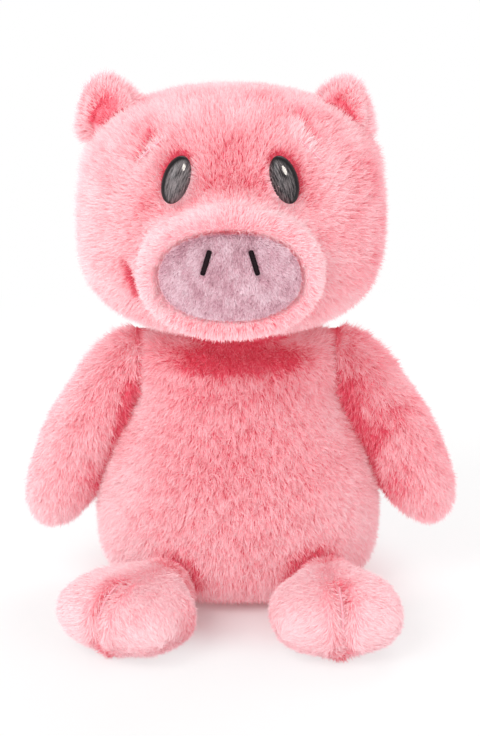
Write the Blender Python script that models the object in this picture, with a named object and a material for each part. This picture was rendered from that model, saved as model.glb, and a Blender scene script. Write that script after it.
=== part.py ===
"""A seated plush pig: fur covers over stuffing, sewn limbs, a padded muzzle and moulded eyes.

Metres, +Z up, facing -Y. The origin is on the surface that the pig sits on, under the middle of the body.
Left and right are the viewer's. Every cover is a hollow fur-fabric shell with the opening that it was
stuffed through, and every filling is its own piece inside it.
"""

import math

import bmesh
import bpy
import numpy as np
from mathutils import Matrix, Vector

# Fits: the clearance between touching pieces, the fur cover's thickness with its pile, and how far a cutter
# runs past what it cuts.
gap = 0.0003
cover_wall = 0.0045
overrun = 0.002
floor_sink = 0.0005

# Body: a pear that swells at the seat and tapers to the shoulders.
body_height = 0.137
seat_swell_height = 0.0355
chest_below_top = 0.019
body_half_width = 0.0700
chest_width_share = 0.6786
seat_depth_share = 0.80
chest_depth_share = 0.86
seat_roundness_share = 3.2
shoulder_roundness_share = 2.5
body_plan_roundness_share = 2.2

# Pellet bag in the seat.
pellet_bag_half_width = 0.050
pellet_bag_half_depth = 0.040
pellet_bag_half_height = 0.018
pellet_bag_height = 0.006

# Neck: a ball of firm stuffing that stands in the head's socket, and the thread that draws the neck in.
neck_below_top = 0.017
neck_ball_radius = 0.032
neck_thread_radius = 0.0008

# Head: a wide, flattened ball, a little to the left of the body's middle.
head_centre_above_neck = 0.070
head_shift = -0.0035
head_half_width = 0.075
head_half_depth = 0.059
head_rise = 0.065
head_drop = 0.055
crown_roundness_share = 2.5
jowl_roundness_share = 2.9
head_plan_roundness_share = 2.25

# Muzzle: a padded bulge round the snout pad.
muzzle_drop = 0.013
muzzle_half_width = 0.0395
muzzle_half_height = 0.0305
muzzle_front = 0.0765
muzzle_root = 0.040
muzzle_roundness_share = 2.6
muzzle_outline_share = 2.3

# Snout pad: the oval of short pile on the muzzle's front.
snout_rise = 0.001
snout_half_width = 0.0325
snout_half_height = 0.0205
snout_front = 0.0795
snout_thickness = 0.011
snout_outline_share = 2.2

# Nostrils: two satin-stitched bars that lean together at the top.
nostril_spacing = 0.022
nostril_lean = 0.0035
nostril_length = 0.0115
nostril_radius = 0.0011
nostril_rise = 0.0075

# Eyes: moulded ovals with a shank through the cover and a washer behind it.
eye_spacing = 0.050
eye_rise = 0.0290
eye_half_width = 0.0065
eye_half_height = 0.0116
eye_crown = 0.0048
eye_seat_depth = 0.0016
eye_lean = math.radians(15)
shank_radius = 0.0021
shank_length = 0.0095
washer_radius = 0.0068
washer_thickness = 0.0016

# Brows: a thread pulled tight under the skin above each eye's outer side.
brow_spacing = 0.0745
brow_rise = 0.0415
brow_length = 0.0150
brow_lean = math.radians(38)
brow_thread_radius = 0.0007

# Ears: rounded triangles on the head's upper corners, lined on the front.
ear_offset_left = 0.0575
ear_offset_right = 0.0523
ear_sink_right = 0.0054
ear_setback = 0.004
ear_reach = 0.0205
ear_root = 0.021
ear_half_width = 0.0170
ear_half_thickness = 0.0050
ear_splay = math.radians(16)
ear_fold = math.radians(15)
ear_lining_share = 0.60
ear_lining_half_thickness = 0.0015
ear_taper_shares = (1.5, 1.7)

# Arms: long drops that hang from the shoulders along the body's sides.
arm_splay_left = math.radians(1.75)
arm_splay_right = math.radians(3.75)
shoulder_below_chest = 0.0045
arm_top = 0.0225
arm_reach = 0.0940
arm_swell_distance = 0.0565
arm_half_width = 0.0205
arm_half_thickness = 0.0190
arm_outward = 0.0195
arm_root_shares = (6.0, 2.0)
arm_tip_shares = (2.2, 2.0)
arm_tip_kick = 0.0030
arm_curve_share = 1.4
arm_opening_radius = 0.009
arm_seam_radius = 0.0125
arm_thread_radius = 0.0008
arm_lift = math.radians(35)

# Legs: short, thrust forward, spreading into two toes.
hip_radius = 0.0185
hip_offset_left = 0.0385
hip_offset_right = 0.0437
leg_length = 0.0530
toe_half_width_left = 0.0345
toe_half_width_right = 0.0320
toe_half_height = 0.0190
toe_spread_start = -0.002
toe_spread_end = 0.019
toe_round_length = 0.028
toe_drop_length = 0.033
toe_round_shares = (3.1, 2.1)
toe_drop_shares = (3.0, 2.0)
toe_squareness_share = 0.4
cleft_depth = 0.0060
cleft_half_width = 0.0046
cleft_start = 0.006
leg_splay_left = math.radians(33)
leg_splay_right = math.radians(6)
leg_opening_radius = 0.007
hip_seam_radius = 0.0085
hip_thread_radius = 0.0010
toe_thread_radius = 0.0006
toe_thread_start_share = 0.55

# Tail: one small stuffed curl.
tail_height = 0.040
tail_radius = 0.0050
tail_tip_radius = 0.0032
tail_curl_radius = 0.0085
tail_curl_length = 0.0110
tail_turns = 1.15
tail_curl_start_share = 0.25
tail_root_place_shares = (-0.97, -0.80, -0.45, 0.0)
tail_root_size_shares = (0.24, 0.60, 0.89, 1.0)
tail_tip_share = 0.55

# Closing seam: the ladder stitch up the back where the filling went in.
closing_low = 0.058
closing_length = 0.040
closing_half_width = 0.0016
closing_thread_radius = 0.0006
closing_stitches = 7

# How finely the forms are faceted: sides round a form and rings along it, for covers and for fillings.
cover_sides = 28
cover_rings = 14
filling_sides = 18
filling_rings = 8
limb_sides = 20
limb_rings = 12
limb_filling_sides = 12
limb_filling_rings = 8
foot_sides = 28
foot_rings = 14
neck_sides = 28
muzzle_rings = 9
muzzle_filling_rings = 6
ear_sides = 18
ear_rings = 9
lens_rings = 8
small_sides = 14
seam_sides = 20
skin_sides = 360
skin_rings = 240
seating_steps = 30
tail_points = 15
stitch_points = 5


# Places that follow from these sizes.
ear_places = {-1: (ear_offset_left, 0.0), 1: (ear_offset_right, ear_sink_right)}
hip_offsets = {-1: hip_offset_left, 1: hip_offset_right}
toe_half_widths = {-1: toe_half_width_left, 1: toe_half_width_right}
chest_height = body_height - chest_below_top
chest_half_width = body_half_width * chest_width_share
shoulder_height = chest_height - shoulder_below_chest
flank_lean = math.atan2(body_half_width - chest_half_width, chest_height - seat_swell_height)
arm_leans = {-1: flank_lean + arm_splay_left, 1: flank_lean + arm_splay_right}
neck_height = body_height - neck_below_top
head_centre_height = neck_height + head_centre_above_neck
eye_height = head_centre_height + eye_rise
brow_height = head_centre_height + brow_rise
muzzle_height = head_centre_height - muzzle_drop
snout_height = muzzle_height + snout_rise
nostril_height = snout_height + nostril_rise


def clear_scene():
    for old in list(bpy.data.objects):
        bpy.data.objects.remove(old, do_unlink=True)


def material(name, colour, roughness, metallic=0.0):
    """A plain Principled material."""
    made = bpy.data.materials.new(name)
    made.use_nodes = True
    shader = made.node_tree.nodes["Principled BSDF"]
    shader.inputs["Base Color"].default_value = (*colour, 1.0)
    shader.inputs["Roughness"].default_value = roughness
    shader.inputs["Metallic"].default_value = metallic
    return made


def pivot(name, place, parent=None):
    """An empty on a joint's axis, which the pieces that move about it hang from."""
    empty = bpy.data.objects.new(name, None)
    bpy.context.scene.collection.objects.link(empty)
    empty.parent = parent
    empty.location = Vector(place) - (pivot_places[parent.name] if parent else Vector())
    pivot_places[name] = Vector(place)
    return empty


pivot_places = {}


def add_mesh(name, points, faces, finish, carrier):
    """An object from world points, hung from its carrier, with every face turned outwards."""
    origin = np.array(pivot_places[carrier.name])
    mesh = bpy.data.meshes.new(name)
    mesh.from_pydata((np.asarray(points) - origin).tolist(), [], faces)
    shell = bmesh.new()
    shell.from_mesh(mesh)
    bmesh.ops.recalc_face_normals(shell, faces=shell.faces)
    shell.to_mesh(mesh)
    shell.free()
    mesh.shade_smooth()
    mesh.set_sharp_from_angle(angle=math.radians(40))
    made = bpy.data.objects.new(name, mesh)
    bpy.context.scene.collection.objects.link(made)
    made.parent = carrier
    if finish:
        made.data.materials.append(finish)
    else:
        made.hide_render = True
        made.display_type = "WIRE"
    return made


def add_tube(name, route, radius, finish, carrier, shares=None, closed=False, sides=2):
    """A round thread or cord along world points, with a radius share at each point if given."""
    origin = np.array(pivot_places[carrier.name])
    curve = bpy.data.curves.new(name, "CURVE")
    curve.dimensions = "3D"
    curve.bevel_depth = radius
    curve.bevel_resolution = sides
    curve.use_fill_caps = not closed
    line = curve.splines.new("POLY")
    line.points.add(len(route) - 1)
    for index, place in enumerate(np.asarray(route) - origin):
        line.points[index].co = (*place, 1.0)
        line.points[index].radius = 1.0 if shares is None else shares[index]
    line.use_cyclic_u = closed
    made = bpy.data.objects.new(name, curve)
    bpy.context.scene.collection.objects.link(made)
    if finish:
        made.parent = carrier
        curve.materials.append(finish)
        return made
    skin = bpy.data.meshes.new_from_object(made.evaluated_get(bpy.context.evaluated_depsgraph_get()))
    bpy.data.objects.remove(made)
    cutter = bpy.data.objects.new(name, skin)
    bpy.context.scene.collection.objects.link(cutter)
    cutter.parent = carrier
    cutter.hide_render = True
    cutter.display_type = "WIRE"
    return cutter


def boolean(piece, other, operation="DIFFERENCE"):
    change = piece.modifiers.new(other.name, "BOOLEAN")
    change.operation = operation
    change.object = other


def cut(piece, *cutters):
    for cutter in cutters:
        boolean(piece, cutter)


def taper(share, swell, round_off):
    """How much of the full width is left at a share of the way from the widest place to an end."""
    return np.maximum(1 - np.abs(share) ** swell, 0) ** (1 / round_off)


def ease(share):
    """A smooth step from 0 to 1."""
    share = np.clip(share, 0, 1)
    return share * share * (3 - 2 * share)


def along_axis(low, high, rings):
    """Places from one end to the other, closer together near both ends."""
    middle, reach = (low + high) / 2, (high - low) / 2
    return middle + reach * np.sin(np.linspace(-math.pi / 2, math.pi / 2, rings + 1))


def section_points(along, half_a, half_b, shift_a, shift_b, outline, sides):
    """Superellipse sections square to the third axis: rows of (a, b, along)."""
    turn = np.linspace(0, 2 * math.pi, sides, endpoint=False)[None, :]
    outline = np.broadcast_to(outline, along.shape)[:, None]
    spread = (np.abs(np.cos(turn)) ** outline + np.abs(np.sin(turn)) ** outline) ** (-1 / outline)
    points = np.empty((len(along), sides, 3))
    points[..., 0] = np.asarray(shift_a)[..., None] + np.asarray(half_a)[:, None] * spread * np.cos(turn)
    points[..., 1] = np.asarray(shift_b)[..., None] + np.asarray(half_b)[:, None] * spread * np.sin(turn)
    points[..., 2] = along[:, None]
    return points


def closed_form(name, points, frame, finish, carrier):
    """The closed skin over rows of section points, whose first and last rows are single points."""
    rows, sides = points.shape[:2]
    local = np.concatenate([points[:1, 0], points[1:-1].reshape(-1, 3), points[-1:, 0]])
    origin, axes = frame
    world = np.array(origin) + local @ np.array(axes)
    last = len(local) - 1
    faces = []
    for side in range(sides):
        after = (side + 1) % sides
        faces.append((0, 1 + after, 1 + side))
        for row in range(rows - 3):
            low, high = 1 + row * sides, 1 + (row + 1) * sides
            faces.append((low + side, low + after, high + after))
            faces.append((low + side, high + after, high + side))
        top = 1 + (rows - 3) * sides
        faces.append((top + side, top + after, last))
    return add_mesh(name, world, faces, finish, carrier)


def block(name, frame, low, high, carrier):
    """A box cutter between two corners in a frame's own axes."""
    origin, axes = frame
    share = np.array([(i & 1, i >> 1 & 1, i >> 2 & 1) for i in range(8)])
    corners = np.array(low) + share * (np.array(high) - np.array(low))
    faces = [(0, 2, 3, 1), (4, 5, 7, 6), (0, 1, 5, 4), (2, 6, 7, 3), (0, 4, 6, 2), (1, 3, 7, 5)]
    return add_mesh(name, np.array(origin) + corners @ np.array(axes), faces, None, carrier)


def cylinder(name, frame, radius, low, high, finish, carrier, sides=small_sides, hole=0.0):
    """A round bar along a frame's third axis, or a flat ring if it has a hole."""
    origin, axes = frame
    turn = np.linspace(0, 2 * math.pi, sides, endpoint=False)
    ring = np.stack([np.cos(turn), np.sin(turn)], 1)
    loops = [(radius, low), (radius, high)]
    if hole:
        loops += [(hole, high), (hole, low)]
    points = np.concatenate([np.column_stack([ring * size, np.full(sides, place)]) for size, place in loops])
    faces = []
    for loop in range(len(loops) if hole else 1):
        start, end = loop * sides, (loop + 1) % len(loops) * sides
        for side in range(sides):
            after = (side + 1) % sides
            faces.append((start + side, start + after, end + after, end + side))
    if not hole:
        faces.append(tuple(range(sides))[::-1])
        faces.append(tuple(range(sides, 2 * sides)))
    return add_mesh(name, np.array(origin) + points @ np.array(axes), faces, finish, carrier)


def ring_route(frame, radius, place, points):
    """Points round a frame's third axis."""
    origin, axes = frame
    turn = np.linspace(0, 2 * math.pi, points, endpoint=False)
    local = np.column_stack([radius * np.cos(turn), radius * np.sin(turn), np.full(points, place)])
    return np.array(origin) + local @ np.array(axes)


def ball(name, centre, radius, finish, carrier, sides):
    along = along_axis(-radius, radius, sides // 2)
    half = radius * taper(along / radius, 2.0, 2.0)
    points = section_points(along, half, half, 0 * along, 0 * along, 2.0, sides)
    return closed_form(name, points, (centre, np.eye(3)), finish, carrier)


upright = ((0.0, 0.0, 0.0), np.eye(3))


# Body.


def body_end_share(height, grow=0.0):
    """How much of the body's width is left where it rounds off into the seat and the shoulders."""
    below = np.clip((seat_swell_height - height) / (seat_swell_height + floor_sink + grow), 0, 1)
    above = np.clip((height - chest_height) / (body_height - chest_height + grow), 0, 1)
    seat = taper(below, seat_roundness_share, seat_roundness_share)
    return seat * taper(above, shoulder_roundness_share, shoulder_roundness_share)


def body_half_width_at(height, grow=0.0):
    """The body's half width at a height, with its skin moved out by grow."""
    climb = ease((height - seat_swell_height) / (chest_height - seat_swell_height))
    half = body_half_width + (chest_half_width - body_half_width) * climb
    return (half + grow) * body_end_share(height, grow)


def body_half_depth_at(height, grow=0.0):
    climb = ease((height - seat_swell_height) / (chest_height - seat_swell_height))
    chest_half_depth = chest_half_width * chest_depth_share
    half = body_half_width * seat_depth_share
    half = half + (chest_half_depth - half) * climb
    return (half + grow) * body_end_share(height, grow)


def body_points(grow, rings, sides):
    half = rings // 2
    low = -np.sin(np.linspace(math.pi / 2, 0, half + 1)) * (seat_swell_height + floor_sink + grow)
    high = np.sin(np.linspace(0, math.pi / 2, rings - half + 1)) * (body_height - seat_swell_height + grow)
    along = seat_swell_height + np.concatenate([low, high[1:]])
    wide, deep = body_half_width_at(along, grow), body_half_depth_at(along, grow)
    return section_points(along, wide, deep, 0 * along, 0 * along, body_plan_roundness_share, sides)


def body_form(name, grow, rings, sides, finish, carrier):
    return closed_form(name, body_points(grow, rings, sides), upright, finish, carrier)


def pellet_form(name, grow, finish, carrier):
    along = along_axis(-pellet_bag_half_height - grow, pellet_bag_half_height + grow, filling_rings)
    share = taper(along / (pellet_bag_half_height + grow), 2.0, 2.0)
    wide, deep = (pellet_bag_half_width + grow) * share, (pellet_bag_half_depth + grow) * share
    points = section_points(along, wide, deep, 0 * along, 0 * along, 2.0, filling_sides)
    return closed_form(name, points, ((0.0, 0.0, pellet_bag_height), np.eye(3)), finish, carrier)


def build_body(root, finishes):
    """The body's cover, its filling with the neck's ball, the pellet bag and the closing seam."""
    thread_room = 2 * (gap + neck_thread_radius)
    well_radius = neck_ball_radius + thread_room
    well_floor = neck_height - neck_thread_radius - gap
    well_top = body_height + overrun
    well = cylinder("neck_well", upright, well_radius, well_floor, well_top, None, root, cover_sides)
    ground = block(
        "ground_cut",
        upright,
        (-2 * body_half_width, -2 * body_half_width - leg_length, -body_height),
        (2 * body_half_width, 2 * body_half_width, 0.0),
        root,
    )

    cover = body_form("body_cover", 0.0, cover_rings, cover_sides, finishes["fur"], root)
    room = body_form("body_room", -cover_wall, filling_rings, filling_sides, None, root)
    cut(cover, room, well, ground)

    filling = body_form(
        "body_stuffing", -cover_wall - gap, filling_rings, filling_sides, finishes["stuffing"], root
    )
    pocket = pellet_form("pellet_pocket", gap, None, root)
    neck_ball = ball("neck_ball", (0.0, 0.0, neck_height), neck_ball_radius, None, root, neck_sides)
    cut(filling, pocket, well)
    boolean(filling, neck_ball, "UNION")

    bag = pellet_form("pellet_bag", 0.0, finishes["cotton"], root)
    seat = body_form("pellet_bag_seat", -cover_wall - gap, filling_rings, filling_sides, None, root)
    boolean(bag, seat, "INTERSECT")

    climb = np.linspace(0, 1, closing_stitches + 1)
    height = closing_low + closing_length * climb
    side = closing_half_width * np.where(np.arange(closing_stitches + 1) % 2, 1, -1)
    back = body_half_depth_at(height) + gap + closing_thread_radius
    add_tube(
        "closing_seam",
        np.column_stack([side, back, height]),
        closing_thread_radius,
        finishes["thread"],
        root,
    )
    return ground


def build_neck(finishes, carrier):
    """The draw thread that lies in the neck's well, round the ball."""
    radius = neck_ball_radius + gap + neck_thread_radius
    route = ring_route(upright, radius, neck_height, cover_sides)
    add_tube("neck_seam", route, neck_thread_radius, finishes["thread"], carrier, closed=True, sides=1)


# Head.

head_centre = (head_shift, 0.0, head_centre_height)


def head_form(name, grow, rings, sides, finish, carrier, frame=None):
    half = rings // 2
    low = -np.sin(np.linspace(math.pi / 2, 0, half + 1)) * (head_drop + grow)
    high = np.sin(np.linspace(0, math.pi / 2, rings - half + 1)) * (head_rise + grow)
    along = np.concatenate([low, high[1:]])
    jowl = taper(along / (head_drop + grow), jowl_roundness_share, jowl_roundness_share)
    crown = taper(along / (head_rise + grow), crown_roundness_share, crown_roundness_share)
    share = np.where(along < 0, jowl, crown)
    wide, deep = (head_half_width + grow) * share, (head_half_depth + grow) * share
    points = section_points(along, wide, deep, 0 * along, 0 * along, head_plan_roundness_share, sides)
    return closed_form(name, points, frame or (head_centre, np.eye(3)), finish, carrier)


def head_front_at(across, height):
    """The point on the head's front skin at a place across it and a height, and the way it faces."""
    up = height - head_centre_height
    reach, power = (head_rise, crown_roundness_share) if up > 0 else (head_drop, jowl_roundness_share)
    share = float(taper(up / reach, power, power))
    plan = head_plan_roundness_share
    side = abs(across) / (head_half_width * share)
    forward = head_half_depth * share * (1 - side**plan) ** (1 / plan)
    ahead = forward / (head_half_depth * share)
    level = share ** (power - 1)
    slope = Vector(
        (
            math.copysign(side ** (plan - 1) * level / head_half_width, across),
            -(ahead ** (plan - 1)) * level / head_half_depth,
            math.copysign((abs(up) / reach) ** (power - 1) / reach, up),
        )
    )
    return Vector((head_shift + across, -forward, height)), slope.normalized()


def face_frame(across, height, lean):
    """A frame on the head's front skin: across, up and out, turned by a lean about the way out."""
    place, out = head_front_at(across, height)
    side = Vector((0.0, 0.0, 1.0)).cross(out).normalized()
    up = out.cross(side)
    turn = Matrix.Rotation(lean, 3, out)
    return tuple(place), np.array([tuple(turn @ side), tuple(turn @ up), tuple(out)])


def lens_form(name, frame, half_a, half_b, back, front, outline, finish, carrier, sides=small_sides):
    """A closed oval that swells by front and by back on the two sides of a frame's plane."""
    share = along_axis(-1, 1, lens_rings)
    along = np.where(share < 0, share * back, share * front)
    size = taper(share, 2.0, 2.0)
    points = section_points(along, half_a * size, half_b * size, 0 * along, 0 * along, outline, sides)
    return closed_form(name, points, frame, finish, carrier)


def build_eye(side_name, side, cover, filling, finishes, carrier):
    """A moulded oval seated in the fur, its shank through the cover, and the washer that holds it."""
    frame = face_frame(side * eye_spacing / 2, eye_height, side * eye_lean)
    eye = lens_form(
        f"eye_{side_name}",
        frame,
        eye_half_width,
        eye_half_height,
        eye_seat_depth,
        eye_crown,
        2.0,
        finishes["eye"],
        carrier,
    )
    shank = cylinder(f"eye_shank_{side_name}", frame, shank_radius, -shank_length, 0.0, None, carrier)
    boolean(eye, shank, "UNION")
    seat = lens_form(
        f"eye_seat_{side_name}",
        frame,
        eye_half_width + gap,
        eye_half_height + gap,
        eye_seat_depth + gap,
        eye_crown + gap,
        2.0,
        None,
        carrier,
    )
    bore = shank_radius + gap
    hole = cylinder(f"eye_hole_{side_name}", frame, bore, -shank_length - gap, 0.0, None, carrier)
    cut(cover, seat, hole)
    washer_top = -cover_wall - washer_sag - gap
    washer_low = washer_top - washer_thickness
    cylinder(
        f"eye_washer_{side_name}",
        frame,
        washer_radius,
        washer_low,
        washer_top,
        finishes["washer"],
        carrier,
        hole=bore,
    )
    pocket = cylinder(
        f"washer_pocket_{side_name}", frame, washer_radius + gap, washer_low - gap, 0.0, None, carrier
    )
    cut(filling, pocket, hole)
    flat = cylinder(
        f"washer_flat_{side_name}",
        frame,
        washer_radius + gap,
        washer_low - gap,
        washer_top + gap,
        None,
        carrier,
    )
    cut(cover, flat)


washer_sag = washer_radius**2 / (2 * (head_half_depth - cover_wall))


def build_brow(side_name, side, cover, finishes, carrier):
    """The tight thread over an eye, bedded in the crease that it draws."""
    frame = face_frame(side * brow_spacing / 2, brow_height, side * brow_lean)
    origin, axes = frame
    share = np.linspace(-1, 1, stitch_points)
    sag = (brow_length / 2) ** 2 / (2 * head_half_width)
    local = np.column_stack([0 * share, share * brow_length / 2, sag - sag * share**2 - sag])
    route = np.array(origin) + local @ np.array(axes)
    add_tube(f"brow_stitch_{side_name}", route, brow_thread_radius, finishes["thread"], carrier, sides=1)
    crease = lens_form(
        f"brow_crease_{side_name}",
        frame,
        3 * brow_thread_radius,
        brow_length / 2 + 2 * brow_thread_radius + gap,
        sag + 2 * brow_thread_radius + gap,
        sag + 2 * brow_thread_radius + gap,
        2.0,
        None,
        carrier,
    )
    cut(cover, crease)


def muzzle_form(name, grow, rings, sides, finish, carrier):
    """The padded bulge, from its root inside the head to its blunt front."""
    along = np.linspace(0, 1, rings + 1)
    share = np.sin(along * math.pi / 2)
    reach = muzzle_front - muzzle_root + grow
    size = taper(share, muzzle_roundness_share, muzzle_roundness_share)
    wide, high = (muzzle_half_width + grow) * size, (muzzle_half_height + grow) * size
    points = section_points(share * reach, wide, high, 0 * along, 0 * along, muzzle_outline_share, sides)
    root = points[:1] * np.array([0.0, 0.0, 1.0])
    frame = ((head_shift, -muzzle_root, muzzle_height), [(1, 0, 0), (0, 0, 1), (0, -1, 0)])
    return closed_form(name, np.concatenate([root, points]), frame, finish, carrier)


def snout_form(name, grow, finish, carrier):
    frame = (
        (head_shift, -snout_front + snout_thickness / 2, snout_height),
        [(1, 0, 0), (0, 0, 1), (0, -1, 0)],
    )
    return lens_form(
        name,
        frame,
        snout_half_width + grow,
        snout_half_height + grow,
        snout_thickness / 2 + grow,
        snout_thickness / 2 + grow,
        snout_outline_share,
        finish,
        carrier,
        sides=cover_sides,
    )


def nostril_route(side):
    """A bar's points down the pad's domed front."""
    share = np.linspace(-1, 1, stitch_points)
    across = side * (nostril_spacing / 2 - nostril_lean / 2 * share)
    up = nostril_height + nostril_length / 2 * share
    wide = np.abs(across / snout_half_width) ** snout_outline_share
    high = np.abs((up - snout_height) / snout_half_height) ** snout_outline_share
    bulge = np.sqrt(1 - (wide + high) ** (2 / snout_outline_share))
    front = snout_front - snout_thickness / 2 + snout_thickness / 2 * bulge
    return np.column_stack([head_shift + across, -front, up])


def build_muzzle(head_skin, finishes, carrier):
    """The muzzle's cover and filling, the snout pad that closes it, and the stitched nostrils."""
    cover = muzzle_form("muzzle_cover", 0.0, muzzle_rings, cover_sides, finishes["fur"], carrier)
    room = muzzle_form("muzzle_room", -cover_wall, muzzle_filling_rings, filling_sides, None, carrier)
    pad_seat = snout_form("snout_seat", gap, None, carrier)
    cut(cover, head_skin, room, pad_seat)
    filling = muzzle_form(
        "muzzle_stuffing",
        -cover_wall - gap,
        muzzle_filling_rings,
        filling_sides,
        finishes["stuffing"],
        carrier,
    )
    cut(filling, head_skin, pad_seat)
    pad = snout_form("snout_pad", 0.0, finishes["snout"], carrier)
    for side_name, side in (("left", -1), ("right", 1)):
        route = nostril_route(side)
        add_tube(f"nostril_{side_name}", route, nostril_radius, finishes["nostril"], carrier, sides=1)
        slot = add_tube(f"nostril_slot_{side_name}", route, nostril_radius + gap, None, carrier, sides=1)
        cut(pad, slot)


def ear_frame(side):
    """A frame at an ear's root: along the root, forward and up the ear."""
    up = Vector((side * math.sin(ear_splay), 0.0, math.cos(ear_splay)))
    forward = Vector((0.0, -1.0, 0.0))
    across = forward.cross(up)
    offset, sink = ear_places[side]
    share = (1 - (offset / head_half_width) ** crown_roundness_share) ** (1 / crown_roundness_share)
    place = (head_shift + side * offset, ear_setback, head_centre_height + head_rise * share - sink)
    return place, np.array([tuple(across), tuple(forward), tuple(up)])


def ear_form(name, frame, reach, root, half_width, half_thickness, finish, carrier):
    along = along_axis(-root, reach, ear_rings)
    share = np.clip(along / reach, 0, 1)
    size = taper(share, *ear_taper_shares) * taper(np.clip(-along / root, 0, 1), 2.0, 2.0)
    points = section_points(
        along, half_width * size, half_thickness * size, 0 * along, 0 * along, 2.0, ear_sides
    )
    return closed_form(name, points, frame, finish, carrier)


def build_ear(side_name, side, finishes, carrier):
    """An ear, cut to clear the head through the whole of its fold, and the lining on its front."""
    frame = ear_frame(side)
    place, axes = frame
    ear = ear_form(
        f"ear_{side_name}",
        frame,
        ear_reach,
        ear_root,
        ear_half_width,
        ear_half_thickness,
        finishes["fur"],
        carrier,
    )
    heads = []
    for step, fold in (("back", -ear_fold), ("rest", 0.0), ("front", ear_fold)):
        turn = np.array(Matrix.Rotation(fold, 3, Vector(axes[0])))
        centre = np.array(place) + turn @ (np.array(head_centre) - np.array(place))
        head = head_form(
            f"head_{step}_of_ear_{side_name}",
            gap,
            cover_rings,
            cover_sides,
            None,
            carrier,
            (centre, turn.T),
        )
        heads.append(head)
    cut(ear, *heads)
    lining_frame = (np.array(place) + ear_lining_rise * axes[2] + ear_half_thickness * axes[1], axes)
    sizes = {"finish": finishes["lining"], "grow": 0.0}, {"finish": None, "grow": gap}
    for name, size in zip((f"ear_lining_{side_name}", f"lining_seat_{side_name}"), sizes):
        made = ear_form(
            name,
            lining_frame,
            ear_reach * ear_lining_share + size["grow"],
            size["grow"] + ear_root * ear_lining_share / 2,
            ear_half_width * ear_lining_share + size["grow"],
            ear_lining_half_thickness + size["grow"],
            size["finish"],
            carrier,
        )
        if size["finish"]:
            cut(made, *heads)
    cut(ear, made)


ear_lining_rise = ear_reach * (1 - ear_lining_share) / 2


def build_head(finishes, carrier, ear_carriers):
    """The head's cover and filling round the neck's ball, and everything that is sewn to the face."""
    socket_radius = (neck_ball_radius + gap) / math.cos(math.pi / neck_sides) ** 2
    socket = ball("neck_socket", (0.0, 0.0, neck_height), socket_radius, None, carrier, neck_sides)
    cover = head_form("head_cover", 0.0, cover_rings, cover_sides, finishes["fur"], carrier)
    room = head_form("head_room", -cover_wall, filling_rings, filling_sides, None, carrier)
    cut(cover, room, socket)
    filling = head_form(
        "head_stuffing", -cover_wall - gap, filling_rings, filling_sides, finishes["stuffing"], carrier
    )
    cut(filling, socket)
    for side_name, side in (("left", -1), ("right", 1)):
        build_eye(side_name, side, cover, filling, finishes, carrier)
        build_brow(side_name, side, cover, finishes, carrier)
        build_ear(side_name, side, finishes, ear_carriers[side])
    head_skin = head_form("head_skin", gap, cover_rings, cover_sides, None, carrier)
    build_muzzle(head_skin, finishes, carrier)


# Arms.

flank = body_points(0.0, cover_rings, cover_sides)
flank_reach = {
    side: float(np.max(flank[..., 0] * math.cos(lean) + flank[..., 2] * math.sin(lean)))
    for side, lean in arm_leans.items()
}
arm_face = 2 * arm_thread_radius + gap


def arm_frame(side):
    """A frame on the plane that just clears the body's side: outwards, forward and down the arm."""
    lean = arm_leans[side]
    across = (flank_reach[side] + gap - shoulder_height * math.sin(lean)) / math.cos(lean)
    out = (side * math.cos(lean), 0.0, math.sin(lean))
    down = (side * math.sin(lean), 0.0, -math.cos(lean))
    return (side * across, 0.0, shoulder_height), np.array([out, (0.0, -1.0, 0.0), down])


def arm_form(name, side, grow, rings, sides, finish, carrier):
    """A drop that curves away from the body, widest two thirds of the way down."""
    along = along_axis(-arm_top - grow, arm_reach + grow, rings)
    above = (arm_swell_distance - along) / (arm_swell_distance + arm_top + grow)
    below = (along - arm_swell_distance) / (arm_reach - arm_swell_distance + grow)
    upper = taper(np.clip(above, 0, 1), *arm_root_shares)
    lower = taper(np.clip(below, 0, 1), *arm_tip_shares)
    size = np.where(along < arm_swell_distance, upper, lower)
    swing = np.clip((along + arm_top) / (arm_swell_distance + arm_top), 0, 1)
    outward = arm_outward * np.sin(swing * math.pi / 2) ** arm_curve_share
    outward = outward + arm_tip_kick * ease(np.clip(below, 0, 1))
    thick, wide = (arm_half_thickness + grow) * size, (arm_half_width + grow) * size
    points = section_points(along, thick, wide, outward, 0 * along, 2.0, sides)
    return closed_form(name, points, arm_frame(side), finish, carrier)


def lift_axis(side):
    """Where the arm lifts from: the top of its seam, on the arm's inner face."""
    origin, axes = arm_frame(side)
    return np.array(origin) + arm_face * axes[0] - arm_seam_radius * axes[2]


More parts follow.
